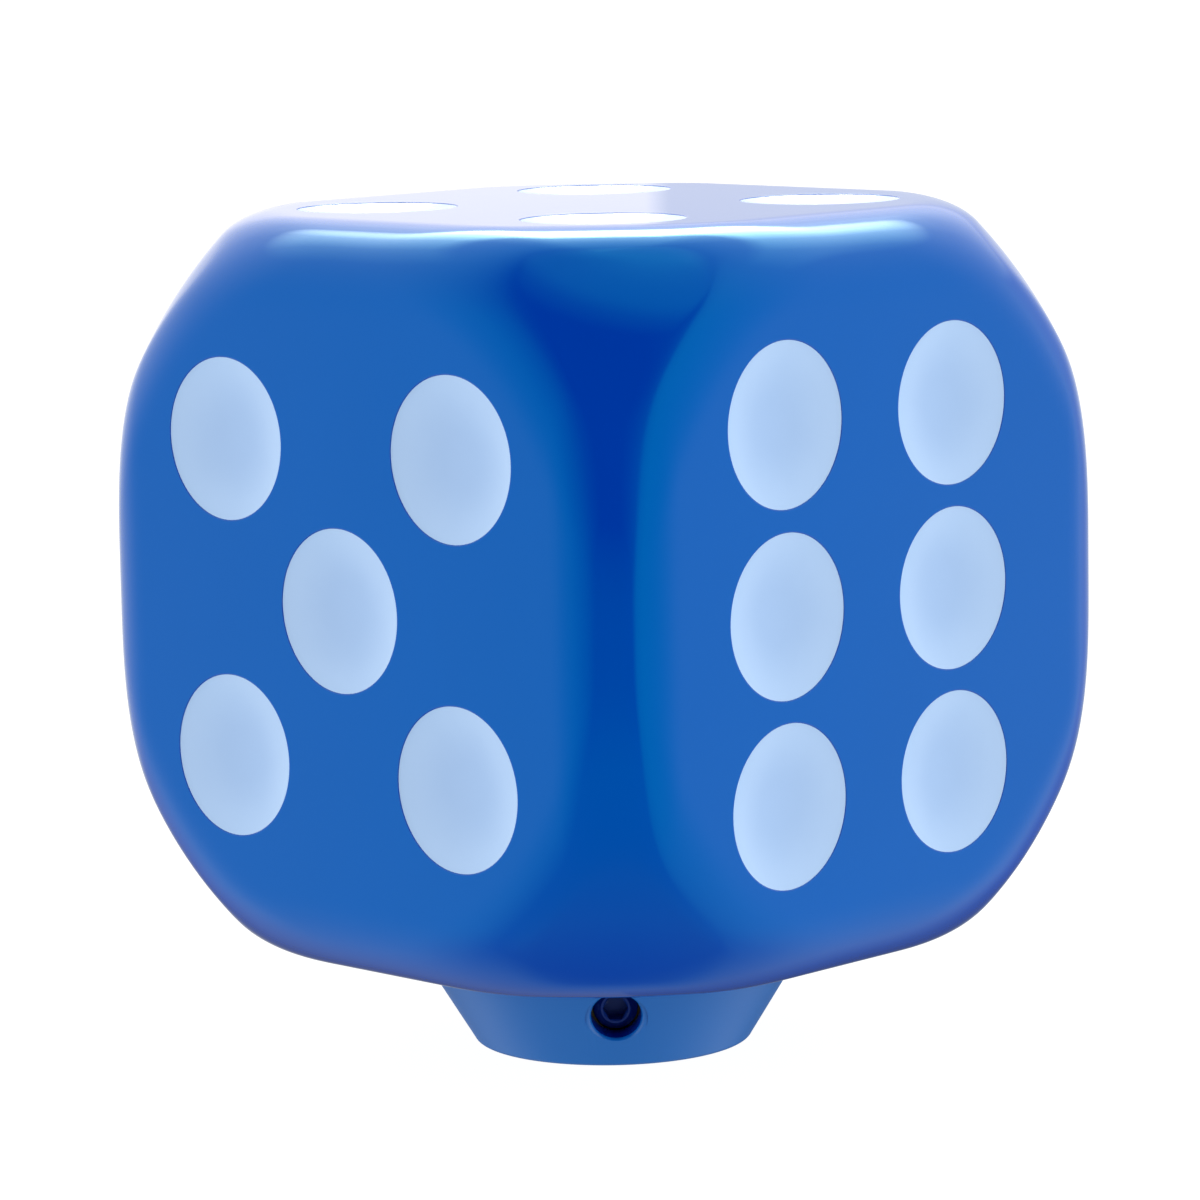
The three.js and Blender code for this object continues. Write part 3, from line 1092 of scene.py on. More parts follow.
def screw_tree() -> bpy.types.GeometryNodeTree:
    """Builds the tree that makes one grub screw, standing on its point.

    A cylinder's side is pushed in by a V thread that winds up it, and never stands outside a cone at
    either end. A hexagonal key socket with a bevelled mouth is cut in its top.

    Returns:
        The tree.
    """
    tree = bpy.data.node_groups.new("grub_screw", "GeometryNodeTree")
    tree.is_modifier = True
    for name, kind in (
        ("Radius", "NodeSocketFloat"),
        ("Length", "NodeSocketFloat"),
        ("Pitch", "NodeSocketFloat"),
        ("Thread depth", "NodeSocketFloat"),
        ("Point radius", "NodeSocketFloat"),
        ("Key radius", "NodeSocketFloat"),
        ("Key depth", "NodeSocketFloat"),
        ("Key bevel", "NodeSocketFloat"),
        ("Sides", "NodeSocketInt"),
        ("Rings", "NodeSocketInt"),
        ("Finish", "NodeSocketMaterial"),
    ):
        tree.interface.new_socket(name, in_out="INPUT", socket_type=kind)
    tree.interface.new_socket("Geometry", in_out="OUTPUT", socket_type="NodeSocketGeometry")
    nodes, links = tree.nodes, tree.links

    given = nodes.new("NodeGroupInput")
    given.label = "Sizes"
    rod = nodes.new("GeometryNodeMeshCylinder")
    rod.label = "Rod"
    half = nodes.new("ShaderNodeMath")
    half.label = "Half the length"
    half_up = nodes.new("ShaderNodeCombineXYZ")
    half_up.label = "Up by half"
    stand = nodes.new("GeometryNodeTransform")
    stand.label = "Stand the rod on its point"
    point = nodes.new("GeometryNodeInputPosition")
    point.label = "Point on the rod"
    split = nodes.new("ShaderNodeSeparateXYZ")
    split.label = "Each direction"
    angle = nodes.new("ShaderNodeMath")
    angle.label = "Angle round the rod"
    turns = nodes.new("ShaderNodeMath")
    turns.label = "Angle as turns"
    pitches = nodes.new("ShaderNodeMath")
    pitches.label = "Height as pitches"
    phase = nodes.new("ShaderNodeMath")
    phase.label = "Place along the thread"
    groove = nodes.new("ShaderNodeMath")
    groove.label = "V from crest to root"
    sunk = nodes.new("ShaderNodeMath")
    sunk.label = "Depth of the thread here"
    threaded = nodes.new("ShaderNodeMath")
    threaded.label = "Radius with the thread"
    point_cone = nodes.new("ShaderNodeMath")
    point_cone.label = "Cone of the point"
    from_top = nodes.new("ShaderNodeMath")
    from_top.label = "Distance from the top"
    top_cone = nodes.new("ShaderNodeMath")
    top_cone.label = "Cone of the top"
    under_point = nodes.new("ShaderNodeMath")
    under_point.label = "Inside the point's cone"
    under_top = nodes.new("ShaderNodeMath")
    under_top.label = "Inside the top's cone"
    shrink = nodes.new("ShaderNodeMath")
    shrink.label = "Share of the full radius"
    scale = nodes.new("ShaderNodeCombineXYZ")
    scale.label = "Inwards only"
    moved = nodes.new("ShaderNodeVectorMath")
    moved.label = "Threaded point"
    thread = nodes.new("GeometryNodeSetPosition")
    thread.label = "Cut the thread"
    key = nodes.new("GeometryNodeMeshCylinder")
    key.label = "Key socket"
    key_length = nodes.new("ShaderNodeMath")
    key_length.label = "Key socket, both ways from the top"
    top = nodes.new("ShaderNodeCombineXYZ")
    top.label = "Top of the screw"
    key_place = nodes.new("GeometryNodeTransform")
    key_place.label = "Key socket in place"
    mouth_radius = nodes.new("ShaderNodeMath")
    mouth_radius.label = "Mouth of the bevel"
    mouth_depth = nodes.new("ShaderNodeMath")
    mouth_depth.label = "Bevel, both ways from the top"
    mouth_outer = nodes.new("ShaderNodeMath")
    mouth_outer.label = "Bevel above the top"
    mouth = nodes.new("GeometryNodeMeshCone")
    mouth.label = "Bevelled mouth"
    mouth_drop = nodes.new("ShaderNodeMath")
    mouth_drop.label = "Bottom of the bevel"
    mouth_low = nodes.new("ShaderNodeCombineXYZ")
    mouth_low.label = "Down to the bevel's bottom"
    mouth_place = nodes.new("GeometryNodeTransform")
    mouth_place.label = "Bevel in place"
    cut_key = nodes.new("GeometryNodeMeshBoolean")
    cut_key.label = "Cut the key socket"
    cut_mouth = nodes.new("GeometryNodeMeshBoolean")
    cut_mouth.label = "Cut the bevel"
    realize = nodes.new("GeometryNodeRealizeInstances")
    realize.label = "Plain mesh"
    finish = nodes.new("GeometryNodeSetMaterial")
    finish.label = "Finish"
    result = nodes.new("NodeGroupOutput")
    result.label = "Screw"
    lay_out(tree, 8)

    for node in (half, sunk, moved, key_length, mouth_depth):
        node.operation = "MULTIPLY"
    for node in (turns, pitches, shrink):
        node.operation = "DIVIDE"
    for node in (phase, from_top, mouth_radius, mouth_drop):
        node.operation = "SUBTRACT"
    half.inputs[1].default_value = 0.5
    angle.operation = "ARCTAN2"
    turns.inputs[1].default_value = 2 * math.pi
    groove.operation = "PINGPONG"
    groove.inputs[1].default_value = 0.5
    threaded.operation = "MULTIPLY_ADD"
    threaded.inputs[1].default_value = -2
    point_cone.operation = "ADD"
    top_cone.operation = "ADD"
    under_point.operation = "MINIMUM"
    under_top.operation = "MINIMUM"
    scale.inputs["Z"].default_value = 1
    key.inputs["Vertices"].default_value = 6
    key_length.inputs[1].default_value = 2
    mouth_depth.inputs[1].default_value = 2
    mouth_outer.operation = "MULTIPLY_ADD"
    mouth_outer.inputs[1].default_value = 2
    cut_key.operation = "DIFFERENCE"
    cut_key.solver = "MANIFOLD"
    cut_mouth.operation = "DIFFERENCE"
    cut_mouth.solver = "MANIFOLD"

    links.new(given.outputs["Sides"], rod.inputs["Vertices"])
    links.new(given.outputs["Rings"], rod.inputs["Side Segments"])
    links.new(given.outputs["Radius"], rod.inputs["Radius"])
    links.new(given.outputs["Length"], rod.inputs["Depth"])
    links.new(given.outputs["Length"], half.inputs[0])
    links.new(half.outputs[0], half_up.inputs["Z"])
    links.new(rod.outputs["Mesh"], stand.inputs["Geometry"])
    links.new(half_up.outputs[0], stand.inputs["Translation"])
    links.new(point.outputs[0], split.inputs[0])
    links.new(split.outputs["Y"], angle.inputs[0])
    links.new(split.outputs["X"], angle.inputs[1])
    links.new(angle.outputs[0], turns.inputs[0])
    links.new(split.outputs["Z"], pitches.inputs[0])
    links.new(given.outputs["Pitch"], pitches.inputs[1])
    links.new(pitches.outputs[0], phase.inputs[0])
    links.new(turns.outputs[0], phase.inputs[1])
    links.new(phase.outputs[0], groove.inputs[0])
    links.new(groove.outputs[0], sunk.inputs[0])
    links.new(given.outputs["Thread depth"], sunk.inputs[1])
    links.new(sunk.outputs[0], threaded.inputs[0])
    links.new(given.outputs["Radius"], threaded.inputs[2])
    links.new(given.outputs["Point radius"], point_cone.inputs[0])
    links.new(split.outputs["Z"], point_cone.inputs[1])
    links.new(given.outputs["Length"], from_top.inputs[0])
    links.new(split.outputs["Z"], from_top.inputs[1])
    links.new(given.outputs["Point radius"], top_cone.inputs[0])
    links.new(from_top.outputs[0], top_cone.inputs[1])
    links.new(threaded.outputs[0], under_point.inputs[0])
    links.new(point_cone.outputs[0], under_point.inputs[1])
    links.new(under_point.outputs[0], under_top.inputs[0])
    links.new(top_cone.outputs[0], under_top.inputs[1])
    links.new(under_top.outputs[0], shrink.inputs[0])
    links.new(given.outputs["Radius"], shrink.inputs[1])
    links.new(shrink.outputs[0], scale.inputs["X"])
    links.new(shrink.outputs[0], scale.inputs["Y"])
    links.new(point.outputs[0], moved.inputs[0])
    links.new(scale.outputs[0], moved.inputs[1])
    links.new(stand.outputs["Geometry"], thread.inputs["Geometry"])
    links.new(moved.outputs[0], thread.inputs["Position"])
    links.new(given.outputs["Key radius"], key.inputs["Radius"])
    links.new(given.outputs["Key depth"], key_length.inputs[0])
    links.new(key_length.outputs[0], key.inputs["Depth"])
    links.new(given.outputs["Length"], top.inputs["Z"])
    links.new(key.outputs["Mesh"], key_place.inputs["Geometry"])
    links.new(top.outputs[0], key_place.inputs["Translation"])
    links.new(given.outputs["Key radius"], mouth_radius.inputs[0])
    links.new(given.outputs["Key bevel"], mouth_radius.inputs[1])
    links.new(given.outputs["Key bevel"], mouth_depth.inputs[0])
    links.new(given.outputs["Key bevel"], mouth_outer.inputs[0])
    links.new(mouth_radius.outputs[0], mouth_outer.inputs[2])
    links.new(given.outputs["Sides"], mouth.inputs["Vertices"])
    links.new(mouth_radius.outputs[0], mouth.inputs["Radius Bottom"])
    links.new(mouth_outer.outputs[0], mouth.inputs["Radius Top"])
    links.new(mouth_depth.outputs[0], mouth.inputs["Depth"])
    links.new(given.outputs["Length"], mouth_drop.inputs[0])
    links.new(given.outputs["Key bevel"], mouth_drop.inputs[1])
    links.new(mouth_drop.outputs[0], mouth_low.inputs["Z"])
    links.new(mouth.outputs["Mesh"], mouth_place.inputs["Geometry"])
    links.new(mouth_low.outputs[0], mouth_place.inputs["Translation"])
    links.new(thread.outputs["Geometry"], cut_key.inputs["Mesh 1"])
    links.new(key_place.outputs["Geometry"], cut_key.inputs["Mesh 2"])
    links.new(cut_key.outputs["Mesh"], cut_mouth.inputs["Mesh 1"])
    links.new(mouth_place.outputs["Geometry"], cut_mouth.inputs["Mesh 2"])
    links.new(cut_mouth.outputs["Mesh"], realize.inputs["Geometry"])
    links.new(realize.outputs["Geometry"], finish.inputs["Geometry"])
    links.new(given.outputs["Finish"], finish.inputs["Material"])
    links.new(finish.outputs["Geometry"], result.inputs["Geometry"])
    return tree


# The knob


@dataclass
class Pips:
    """The dished pips: where they are, the tool that sinks them, and the enamel that fills them."""

    nodes: list[str]
    die_centre: Vector
    half_side: float
    radius: float = 5.39 * MM
    wall: float = 0.3 * MM
    dish: float = 1.1 * MM
    lip: float = 0.1 * MM
    lip_steps: int = 5
    enamel_drop: float = 0.06 * MM
    enamel_dish: float = 1.0 * MM
    meniscus: float = 0.03 * MM
    meniscus_power: int = 34
    bite: float = 0.06 * MM
    overrun: float = 1 * MM
    sides: int = 96
    recess_rings: int = 4
    enamel_rings: int = 16
    faces: tuple[str, ...] = ("five", "six", "two", "one", "four")
    tree: bpy.types.GeometryNodeTree = field(default_factory=pip_tree)

    def nodes_of(self, face: str) -> list[str]:
        """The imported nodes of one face's pips."""
        return sorted(node for node in self.nodes if node.startswith(f"pip_{face}_"))

    def _places(self, face: str) -> bpy.types.Object:
        """Makes a mesh with a point on the face at each of its pips.

        Args:
            face: the face's name.

        Returns:
            The object. Its points carry the face's "outward" direction.
        """
        points, directions = [], []
        for node in self.nodes_of(face):
            low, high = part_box(node)
            offset = (low + high) / 2 - self.die_centre
            axis = max(range(3), key=lambda direction: abs(offset[direction]))
            outward = Vector((0, 0, 0))
            outward[axis] = math.copysign(1, offset[axis])
            offset[axis] = outward[axis] * self.half_side
            points.append(self.die_centre + offset)
            directions.append(outward)
        mesh = bpy.data.meshes.new(f"{face}_places")
        mesh.from_pydata(points, [], [])
        stored = mesh.attributes.new("outward", "FLOAT_VECTOR", "POINT")
        for point, outward in zip(stored.data, directions):
            point.vector = outward
        return new_object(mesh, f"enamel_{face}")

    def _patterned(self, face: str, shape: bpy.types.Mesh, finish: bpy.types.Material) -> bpy.types.Object:
        """Puts a copy of a shape at each of a face's pips.

        Args:
            face: the face's name.
            shape: one pip's shape, with its face plane at height 0.
            finish: the material of every copy.

        Returns:
            The object that holds all the copies.
        """
        pattern = self._places(face)
        one = new_object(shape, "one_pip")
        run_tree(pattern, self.tree, {"Pip shape": one, "Finish": finish})
        bpy.data.objects.remove(one)
        for attribute in [a for a in pattern.data.attributes if a.name == "outward"]:
            pattern.data.attributes.remove(attribute)
        return pattern

    def recess_tool(self, face: str, finish: bpy.types.Material) -> bpy.types.Object:
        """Makes the tool that sinks a face's pips, with a fine round-over where each meets the face.

        Args:
            face: the face's name.
            finish: the material of the cut.

        Returns:
            The tool.
        """
        outline = bowl(self.radius, -self.wall, self.dish, self.recess_rings)
        outline += arc((self.radius + self.lip, -self.lip), self.lip, 180, 90, self.lip_steps)
        outline += [(self.radius + self.lip, self.overrun), (0, self.overrun)]
        return self._patterned(face, Turning(outline, self.sides).mesh("recess"), finish)

    def _enamel_shape(self) -> bpy.types.Mesh:
        """Makes one pip's enamel: a thin dish whose top climbs the wall a little at its rim.

        Returns:
            The mesh. Its "rim" attribute runs from 0 in the middle to 1 at the rim.
        """
        edge = self.radius + self.bite
        under = bowl(edge, -self.wall, self.dish, self.enamel_rings)
        top = []
        for radius, height in bowl(edge, -self.enamel_drop, self.enamel_dish, self.enamel_rings):
            climb = self.meniscus * (radius / edge) ** self.meniscus_power
            top.append((radius, height + climb))
        mesh = Turning(under + top[::-1], self.sides).mesh("enamel")
        rim = mesh.attributes.new("rim", "FLOAT", "POINT")
        for point, vertex in zip(rim.data, mesh.vertices):
            point.value = math.hypot(vertex.co.x, vertex.co.y) / edge
        return mesh

    def enamel(self, face: str, finish: bpy.types.Material) -> bpy.types.Object:
        """Makes a face's enamel as one piece."""
        return self._patterned(face, self._enamel_shape(), finish)


@dataclass
class Screw:
    """One screw's place: the point of its tip, and the direction that its key socket faces."""

    name: str
    tip: Vector
    outward: Vector
    length: float

    @classmethod
    def read(cls, frame: dict[str, object], name: str) -> Screw:
        """Reads a screw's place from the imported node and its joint.

        Args:
            name: the screw's name: front, left or right.

        Returns:
            The screw's place.
        """
        joint = next(j for j in frame["joints"] if j["child"] == f"screw_{name}")
        outward = Vector(joint["axis"]).normalized()
        node = frame["nodes"][f"grub_screw_{name}"]
        along = [vertex.co.dot(outward) for vertex in node.data.vertices]
        low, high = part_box(node.name)
        height = Vector((0, 0, (low.z + high.z) / 2))
        return cls(name, outward * min(along) + height, outward, max(along) - min(along))


@dataclass
class Casting:
    """The blue resin casting: the die, the collar under it, and every hole that is cut in it."""

    die_centre: Vector
    half_side: float
    polished: bpy.types.Material
    # Satin finish of the collar and hole mouths; its lighter base colour is a painted sheen.
    satin_painted_sheen: bpy.types.Material
    cut: bpy.types.Material
    edge_round: float = 5.41 * MM
    corner_sphere: float = 34.67 * MM
    blend: float = 1.56 * MM
    grid: int = 73
    crowding: float = math.radians(75)
    rounds: int = 24
    collar_top: float = 13.2 * MM
    collar_foot: float = 10 * MM
    collar_fillet: float = 0.9 * MM
    foot_round: float = 0.6 * MM
    pocket: float = 8.05 * MM
    pocket_end: float = 35.55 * MM
    groove_depth: float = 0.5 * MM
    groove_width: float = 1.9 * MM
    groove_starts: tuple[float, ...] = (14.05 * MM, 24.05 * MM)
    mouth_chamfer: float = 0.25 * MM
    screw_hole: float = 1.7 * MM
    hole_lip: float = 0.42 * MM
    overrun: float = 1 * MM
    sides: int = 192
    hole_sides: int = 72
    arc_steps: int = 8
    sharp_above: float = math.radians(34)

    @property
    def height(self) -> float:
        """The collar's height, from its foot to the die."""
        return self.die_centre.z - self.half_side

    @property
    def slope(self) -> float:
        """The angle that the collar's side leans out from upright."""
        return math.atan2(self.collar_top - self.collar_foot, self.height)

    def build(self, pips: Pips, screws: list[Screw]) -> bpy.types.Object:
        """Builds the whole casting.

        Args:
            pips: the pips that are sunk in it.
            screws: the screws that it has holes for.

        Returns:
            The casting, with each of its zones in its own finish.
        """
        casting = self._blank()
        combine(casting, self._collar(), Join.ADD)
        combine(casting, self._pocket(), Join.CUT)
        for face in pips.faces:
            combine(casting, pips.recess_tool(face, self.cut), Join.CUT)
        for screw in screws:
            combine(casting, self._hole(screw), Join.CUT)
            combine(casting, self._hole_mouth(screw), Join.CUT)
        resharpen(casting, self.sharp_above)
        return casting

    def _blank(self) -> bpy.types.Object:
        """Makes the die before anything is cut in it.

        Returns:
            The die.
        """
        blank = new_object(bpy.data.meshes.new("die"), "resin_casting")
        sizes = {
            "Centre": self.die_centre,
            "Half side": self.half_side,
            "Edge radius": self.edge_round,
            "Corner sphere": self.corner_sphere,
            "Blend radius": self.blend,
            "Points along a side": self.grid,
            "Edge crowding": self.crowding,
            "Rounds": self.rounds,
            "Finish": self.polished,
        }
        run_tree(blank, die_tree(), sizes)
        return blank

    def _collar(self) -> bpy.types.Object:
        """Makes the collar, with a rounded foot and a fillet that runs out into the die's underside.

        Returns:
            The collar, its foot at height 0.
        """
        tilt = math.degrees(self.slope)
        reach = math.tan((math.pi / 2 + self.slope) / 2)
        foot = (self.collar_foot - self.foot_round * reach, self.foot_round)
        top = (self.collar_top + self.collar_fillet * reach, self.height - self.collar_fillet)
        outline = [(0, 0)]
        outline += arc(foot, self.foot_round, -90, -tilt, self.arc_steps)
        outline += arc(top, self.collar_fillet, 180 - tilt, 90, self.arc_steps)
        outline += [(top[0], self.height + self.overrun), (0, self.height + self.overrun)]
        return new_object(Turning(outline, self.sides).mesh("collar", self.satin_painted_sheen), "collar")

    def _pocket(self) -> bpy.types.Object:
        """Makes the tool for the pocket that the brass cup fills, with ribs that lock into its grooves.

        Returns:
            The tool.
        """
        below = self.pocket + self.mouth_chamfer + self.overrun
        outline = [(0, -self.overrun), (below, -self.overrun), (self.pocket, self.mouth_chamfer)]
        for start in self.groove_starts:
            inner = self.pocket - self.groove_depth
            end = start + self.groove_width
            outline += [(self.pocket, start), (inner, start), (inner, end), (self.pocket, end)]
        outline += [(self.pocket, self.pocket_end), (0, self.pocket_end)]
        return new_object(Turning(outline, self.sides).mesh("pocket", self.cut), "pocket")

    def _hole(self, screw: Screw) -> bpy.types.Object:
        """Makes the tool for one screw's clearance hole, from inside the pocket out past the collar.

        Args:
            screw: the screw that the hole is for.

        Returns:
            The tool.
        """
        inner = self.pocket - self.overrun
        outer = self.collar_top + self.overrun
        outline = [(0, inner), (self.screw_hole, inner), (self.screw_hole, outer), (0, outer)]
        mesh = Turning(outline, self.hole_sides).mesh("hole", self.cut)
        mesh.transform(Matrix.Translation((0, 0, screw.tip.z)) @ facing(screw.outward))
        return new_object(mesh, "hole")

    def _hole_mouth(self, screw: Screw) -> bpy.types.Object:
        """Makes the tool that rounds one screw hole's mouth, where it breaks through the sloping collar.

        Args:
            screw: the screw that the hole is for.

        Returns:
            The tool: a flare turned round the collar's own normal, stretched to the slanting hole's
            outline, and bent to the collar's curve.
        """
        lip = self.hole_lip
        outline = [(0, 0), (self.screw_hole, 0)]
        outline += arc((self.screw_hole + lip, 0), lip, 180, 90, self.arc_steps)[1:]
        outline += [(self.screw_hole + lip, lip + self.overrun), (0, lip + self.overrun)]
        mesh = Turning(outline, self.hole_sides).mesh("mouth", self.satin_painted_sheen)

        height = screw.tip.z
        surface = self.collar_foot + (self.collar_top - self.collar_foot) * height / self.height
        curve = surface / math.cos(self.slope)
        outward, upward = screw.outward, Vector((0, 0, 1))
        normal = outward * math.cos(self.slope) - upward * math.sin(self.slope)
        along = outward * math.sin(self.slope) + upward * math.cos(self.slope)
        across = along.cross(normal)
        throat = outward * (surface - lip / math.cos(self.slope)) + upward * height
        for vertex in mesh.vertices:
            sideways, slant, out = vertex.co
            out -= curve - math.sqrt(curve**2 - sideways**2)
            slant /= math.cos(self.slope)
            vertex.co = throat + across * sideways + along * slant + normal * out
        shape = bmesh.new()
        shape.from_mesh(mesh)
        bmesh.ops.recalc_face_normals(shape, faces=shape.faces)
        shape.to_mesh(mesh)
        shape.free()
        return new_object(mesh, "mouth")


def facing(outward: Vector) -> Matrix:
    """The turn that points a shape's own +Z along a level direction."""
    return outward.to_track_quat("Z", "Y").to_matrix().to_4x4()


@dataclass
class BrassCup:
    """The blind brass cup that the lever goes into, with its seat, locking grooves and tapped holes."""

    finish: bpy.types.Material
    outer: float = 8 * MM
    bore: float = 6.15 * MM
    mouth: float = 0.3 * MM
    end: float = 33 * MM
    end_wall: float = 2.5 * MM
    groove_depth: float = 0.5 * MM
    groove_width: float = 2 * MM
    groove_starts: tuple[float, ...] = (14 * MM, 24 * MM)
    seat: float = 7.2 * MM
    seat_depth: float = 1.3 * MM
    chamfer: float = 0.18 * MM
    drill_point: float = 0.9 * MM
    tapped: float = 1.56 * MM
    countersink: float = 0.16 * MM
    sides: int = 144
    hole_sides: int = 48

    def build(self, screws: list[Screw]) -> bpy.types.Object:
        """Turns the cup and drills it for the screws.

        Args:
            screws: the screws that are tapped into it.

        Returns:
            The cup.
        """
        edge = self.chamfer
        outline = [(self.seat + edge, self.mouth), (self.outer - edge, self.mouth)]
        outline += [(self.outer, self.mouth + edge)]
        for start in self.groove_starts:
            inner = self.outer - self.groove_depth
            stop = start + self.groove_width
            outline += [(self.outer, start), (inner, start), (inner, stop), (self.outer, stop)]
        top = self.end + self.end_wall
        outline += [(self.outer, top - edge), (self.outer - edge, top), (0, top)]
        outline += [(0, self.end + self.drill_point), (self.bore - self.drill_point, self.end)]
        outline += [(self.bore, self.end), (self.bore, self.mouth + self.seat_depth + edge)]
        outline += [(self.bore + edge, self.mouth + self.seat_depth)]
        outline += [(self.seat, self.mouth + self.seat_depth), (self.seat, self.mouth + edge)]
        cup = new_object(Turning(outline, self.sides).mesh("cup", self.finish), "brass_cup")
        for screw in screws:
            combine(cup, self._tapped_hole(screw), Join.CUT)
        resharpen(cup, Turning.sharp_above)
        return cup

    def _tapped_hole(self, screw: Screw) -> bpy.types.Object:
        """Makes the tool for one tapped hole, countersunk where it leaves the cup's outside.

        Args:
            screw: the screw that the hole is for.

        Returns:
            The tool.
        """
        inner, outer = self.bore / 2, self.outer + MM
        sunk = self.outer - self.countersink
        outline = [(0, inner), (self.tapped, inner), (self.tapped, sunk)]
        outline += [(self.tapped + outer - sunk, outer), (0, outer)]
        mesh = Turning(outline, self.hole_sides).mesh("tapped hole", self.finish)
        mesh.transform(Matrix.Translation((0, 0, screw.tip.z)) @ facing(screw.outward))
        return new_object(mesh, "tapped_hole")


@dataclass
class NylonSleeve:
    """The split nylon sleeve that packs the cup out for a thinner lever."""

    finish: bpy.types.Material
    outer: float = 6.05 * MM
    bore: float = 5.1 * MM
    flange: float = 7 * MM
    flange_thickness: float = 1 * MM
    foot: float = 0.4 * MM
    top: float = 28 * MM
    split: float = 1.6 * MM
    round_over: float = 0.2 * MM
    lead_in: float = 0.45 * MM
    sides: int = 144
    steps: int = 4

    def build(self) -> bpy.types.Object:
        """Turns the sleeve with its edges rounded, and slits it down its +X side.

        Returns:
            The sleeve.
        """
        soft = self.round_over
        shoulder = self.foot + self.flange_thickness
        outline = arc((self.bore + soft, self.foot + soft), soft, 180, 270, self.steps)
        outline += arc((self.flange - soft, self.foot + soft), soft, -90, 0, self.steps)
        outline += arc((self.flange - soft, shoulder - soft), soft, 0, 90, self.steps)
        outline += [(self.outer, shoulder), (self.outer, self.top - self.lead_in)]
        outline += [(self.outer - self.lead_in / 2, self.top), (self.bore + soft, self.top)]
        outline += [(self.bore, self.top - soft)]
        sleeve = new_object(Turning(outline, self.sides).mesh("sleeve", self.finish), "nylon_sleeve")
        combine(sleeve, self._slit(), Join.CUT)
        resharpen(sleeve, Turning.sharp_above)
        return sleeve

    def _slit(self) -> bpy.types.Object:
        """Makes the block that cuts the slit.

        Returns:
            The tool.
        """
        reach = self.flange + MM
        shape = bmesh.new()
        bmesh.ops.create_cube(shape, size=1)
        stretch = Matrix.Diagonal((reach, self.split, self.top + 2 * MM, 1))
        place = Matrix.Translation((reach / 2, 0, self.top / 2))
        bmesh.ops.transform(shape, matrix=place @ stretch, verts=shape.verts)
        mesh = finished_mesh(shape, "slit", Turning.sharp_above)
        mesh.materials.append(self.finish)
        return new_object(mesh, "slit")


@dataclass
class GrubScrews:
    """The three socket-head grub screws that clamp the collar to the lever."""

    finish: bpy.types.Material
    radius: float = 1.5 * MM
    pitch: float = 0.5 * MM
    thread_depth: float = 0.29 * MM
    point_radius: float = 1 * MM
    key_across_flats: float = 1.5 * MM
    key_depth: float = 1.3 * MM
    key_bevel: float = 0.12 * MM
    sides: int = 60
    rings_in_a_pitch: int = 14
    tree: bpy.types.GeometryNodeTree = field(default_factory=screw_tree)

    def build(self, screw: Screw) -> bpy.types.Object:
        """Makes one screw in its place.

        Args:
            screw: the screw's place.

        Returns:
            The screw.
        """
        made = new_object(bpy.data.meshes.new("screw"), f"set_screw_{screw.name}")
        sizes = {
            "Radius": self.radius,
            "Length": screw.length,
            "Pitch": self.pitch,
            "Thread depth": self.thread_depth,
            "Point radius": self.point_radius,
            "Key radius": self.key_across_flats / math.sqrt(3),
            "Key depth": self.key_depth,
            "Key bevel": self.key_bevel,
            "Sides": self.sides,
            "Rings": round(screw.length / self.pitch) * self.rings_in_a_pitch,
            "Finish": self.finish,
        }
        run_tree(made, self.tree, sizes)
        made.data.transform(Matrix.Translation(screw.tip) @ facing(screw.outward))
        resharpen(made, Turning.sharp_above)
        return made


# The studio


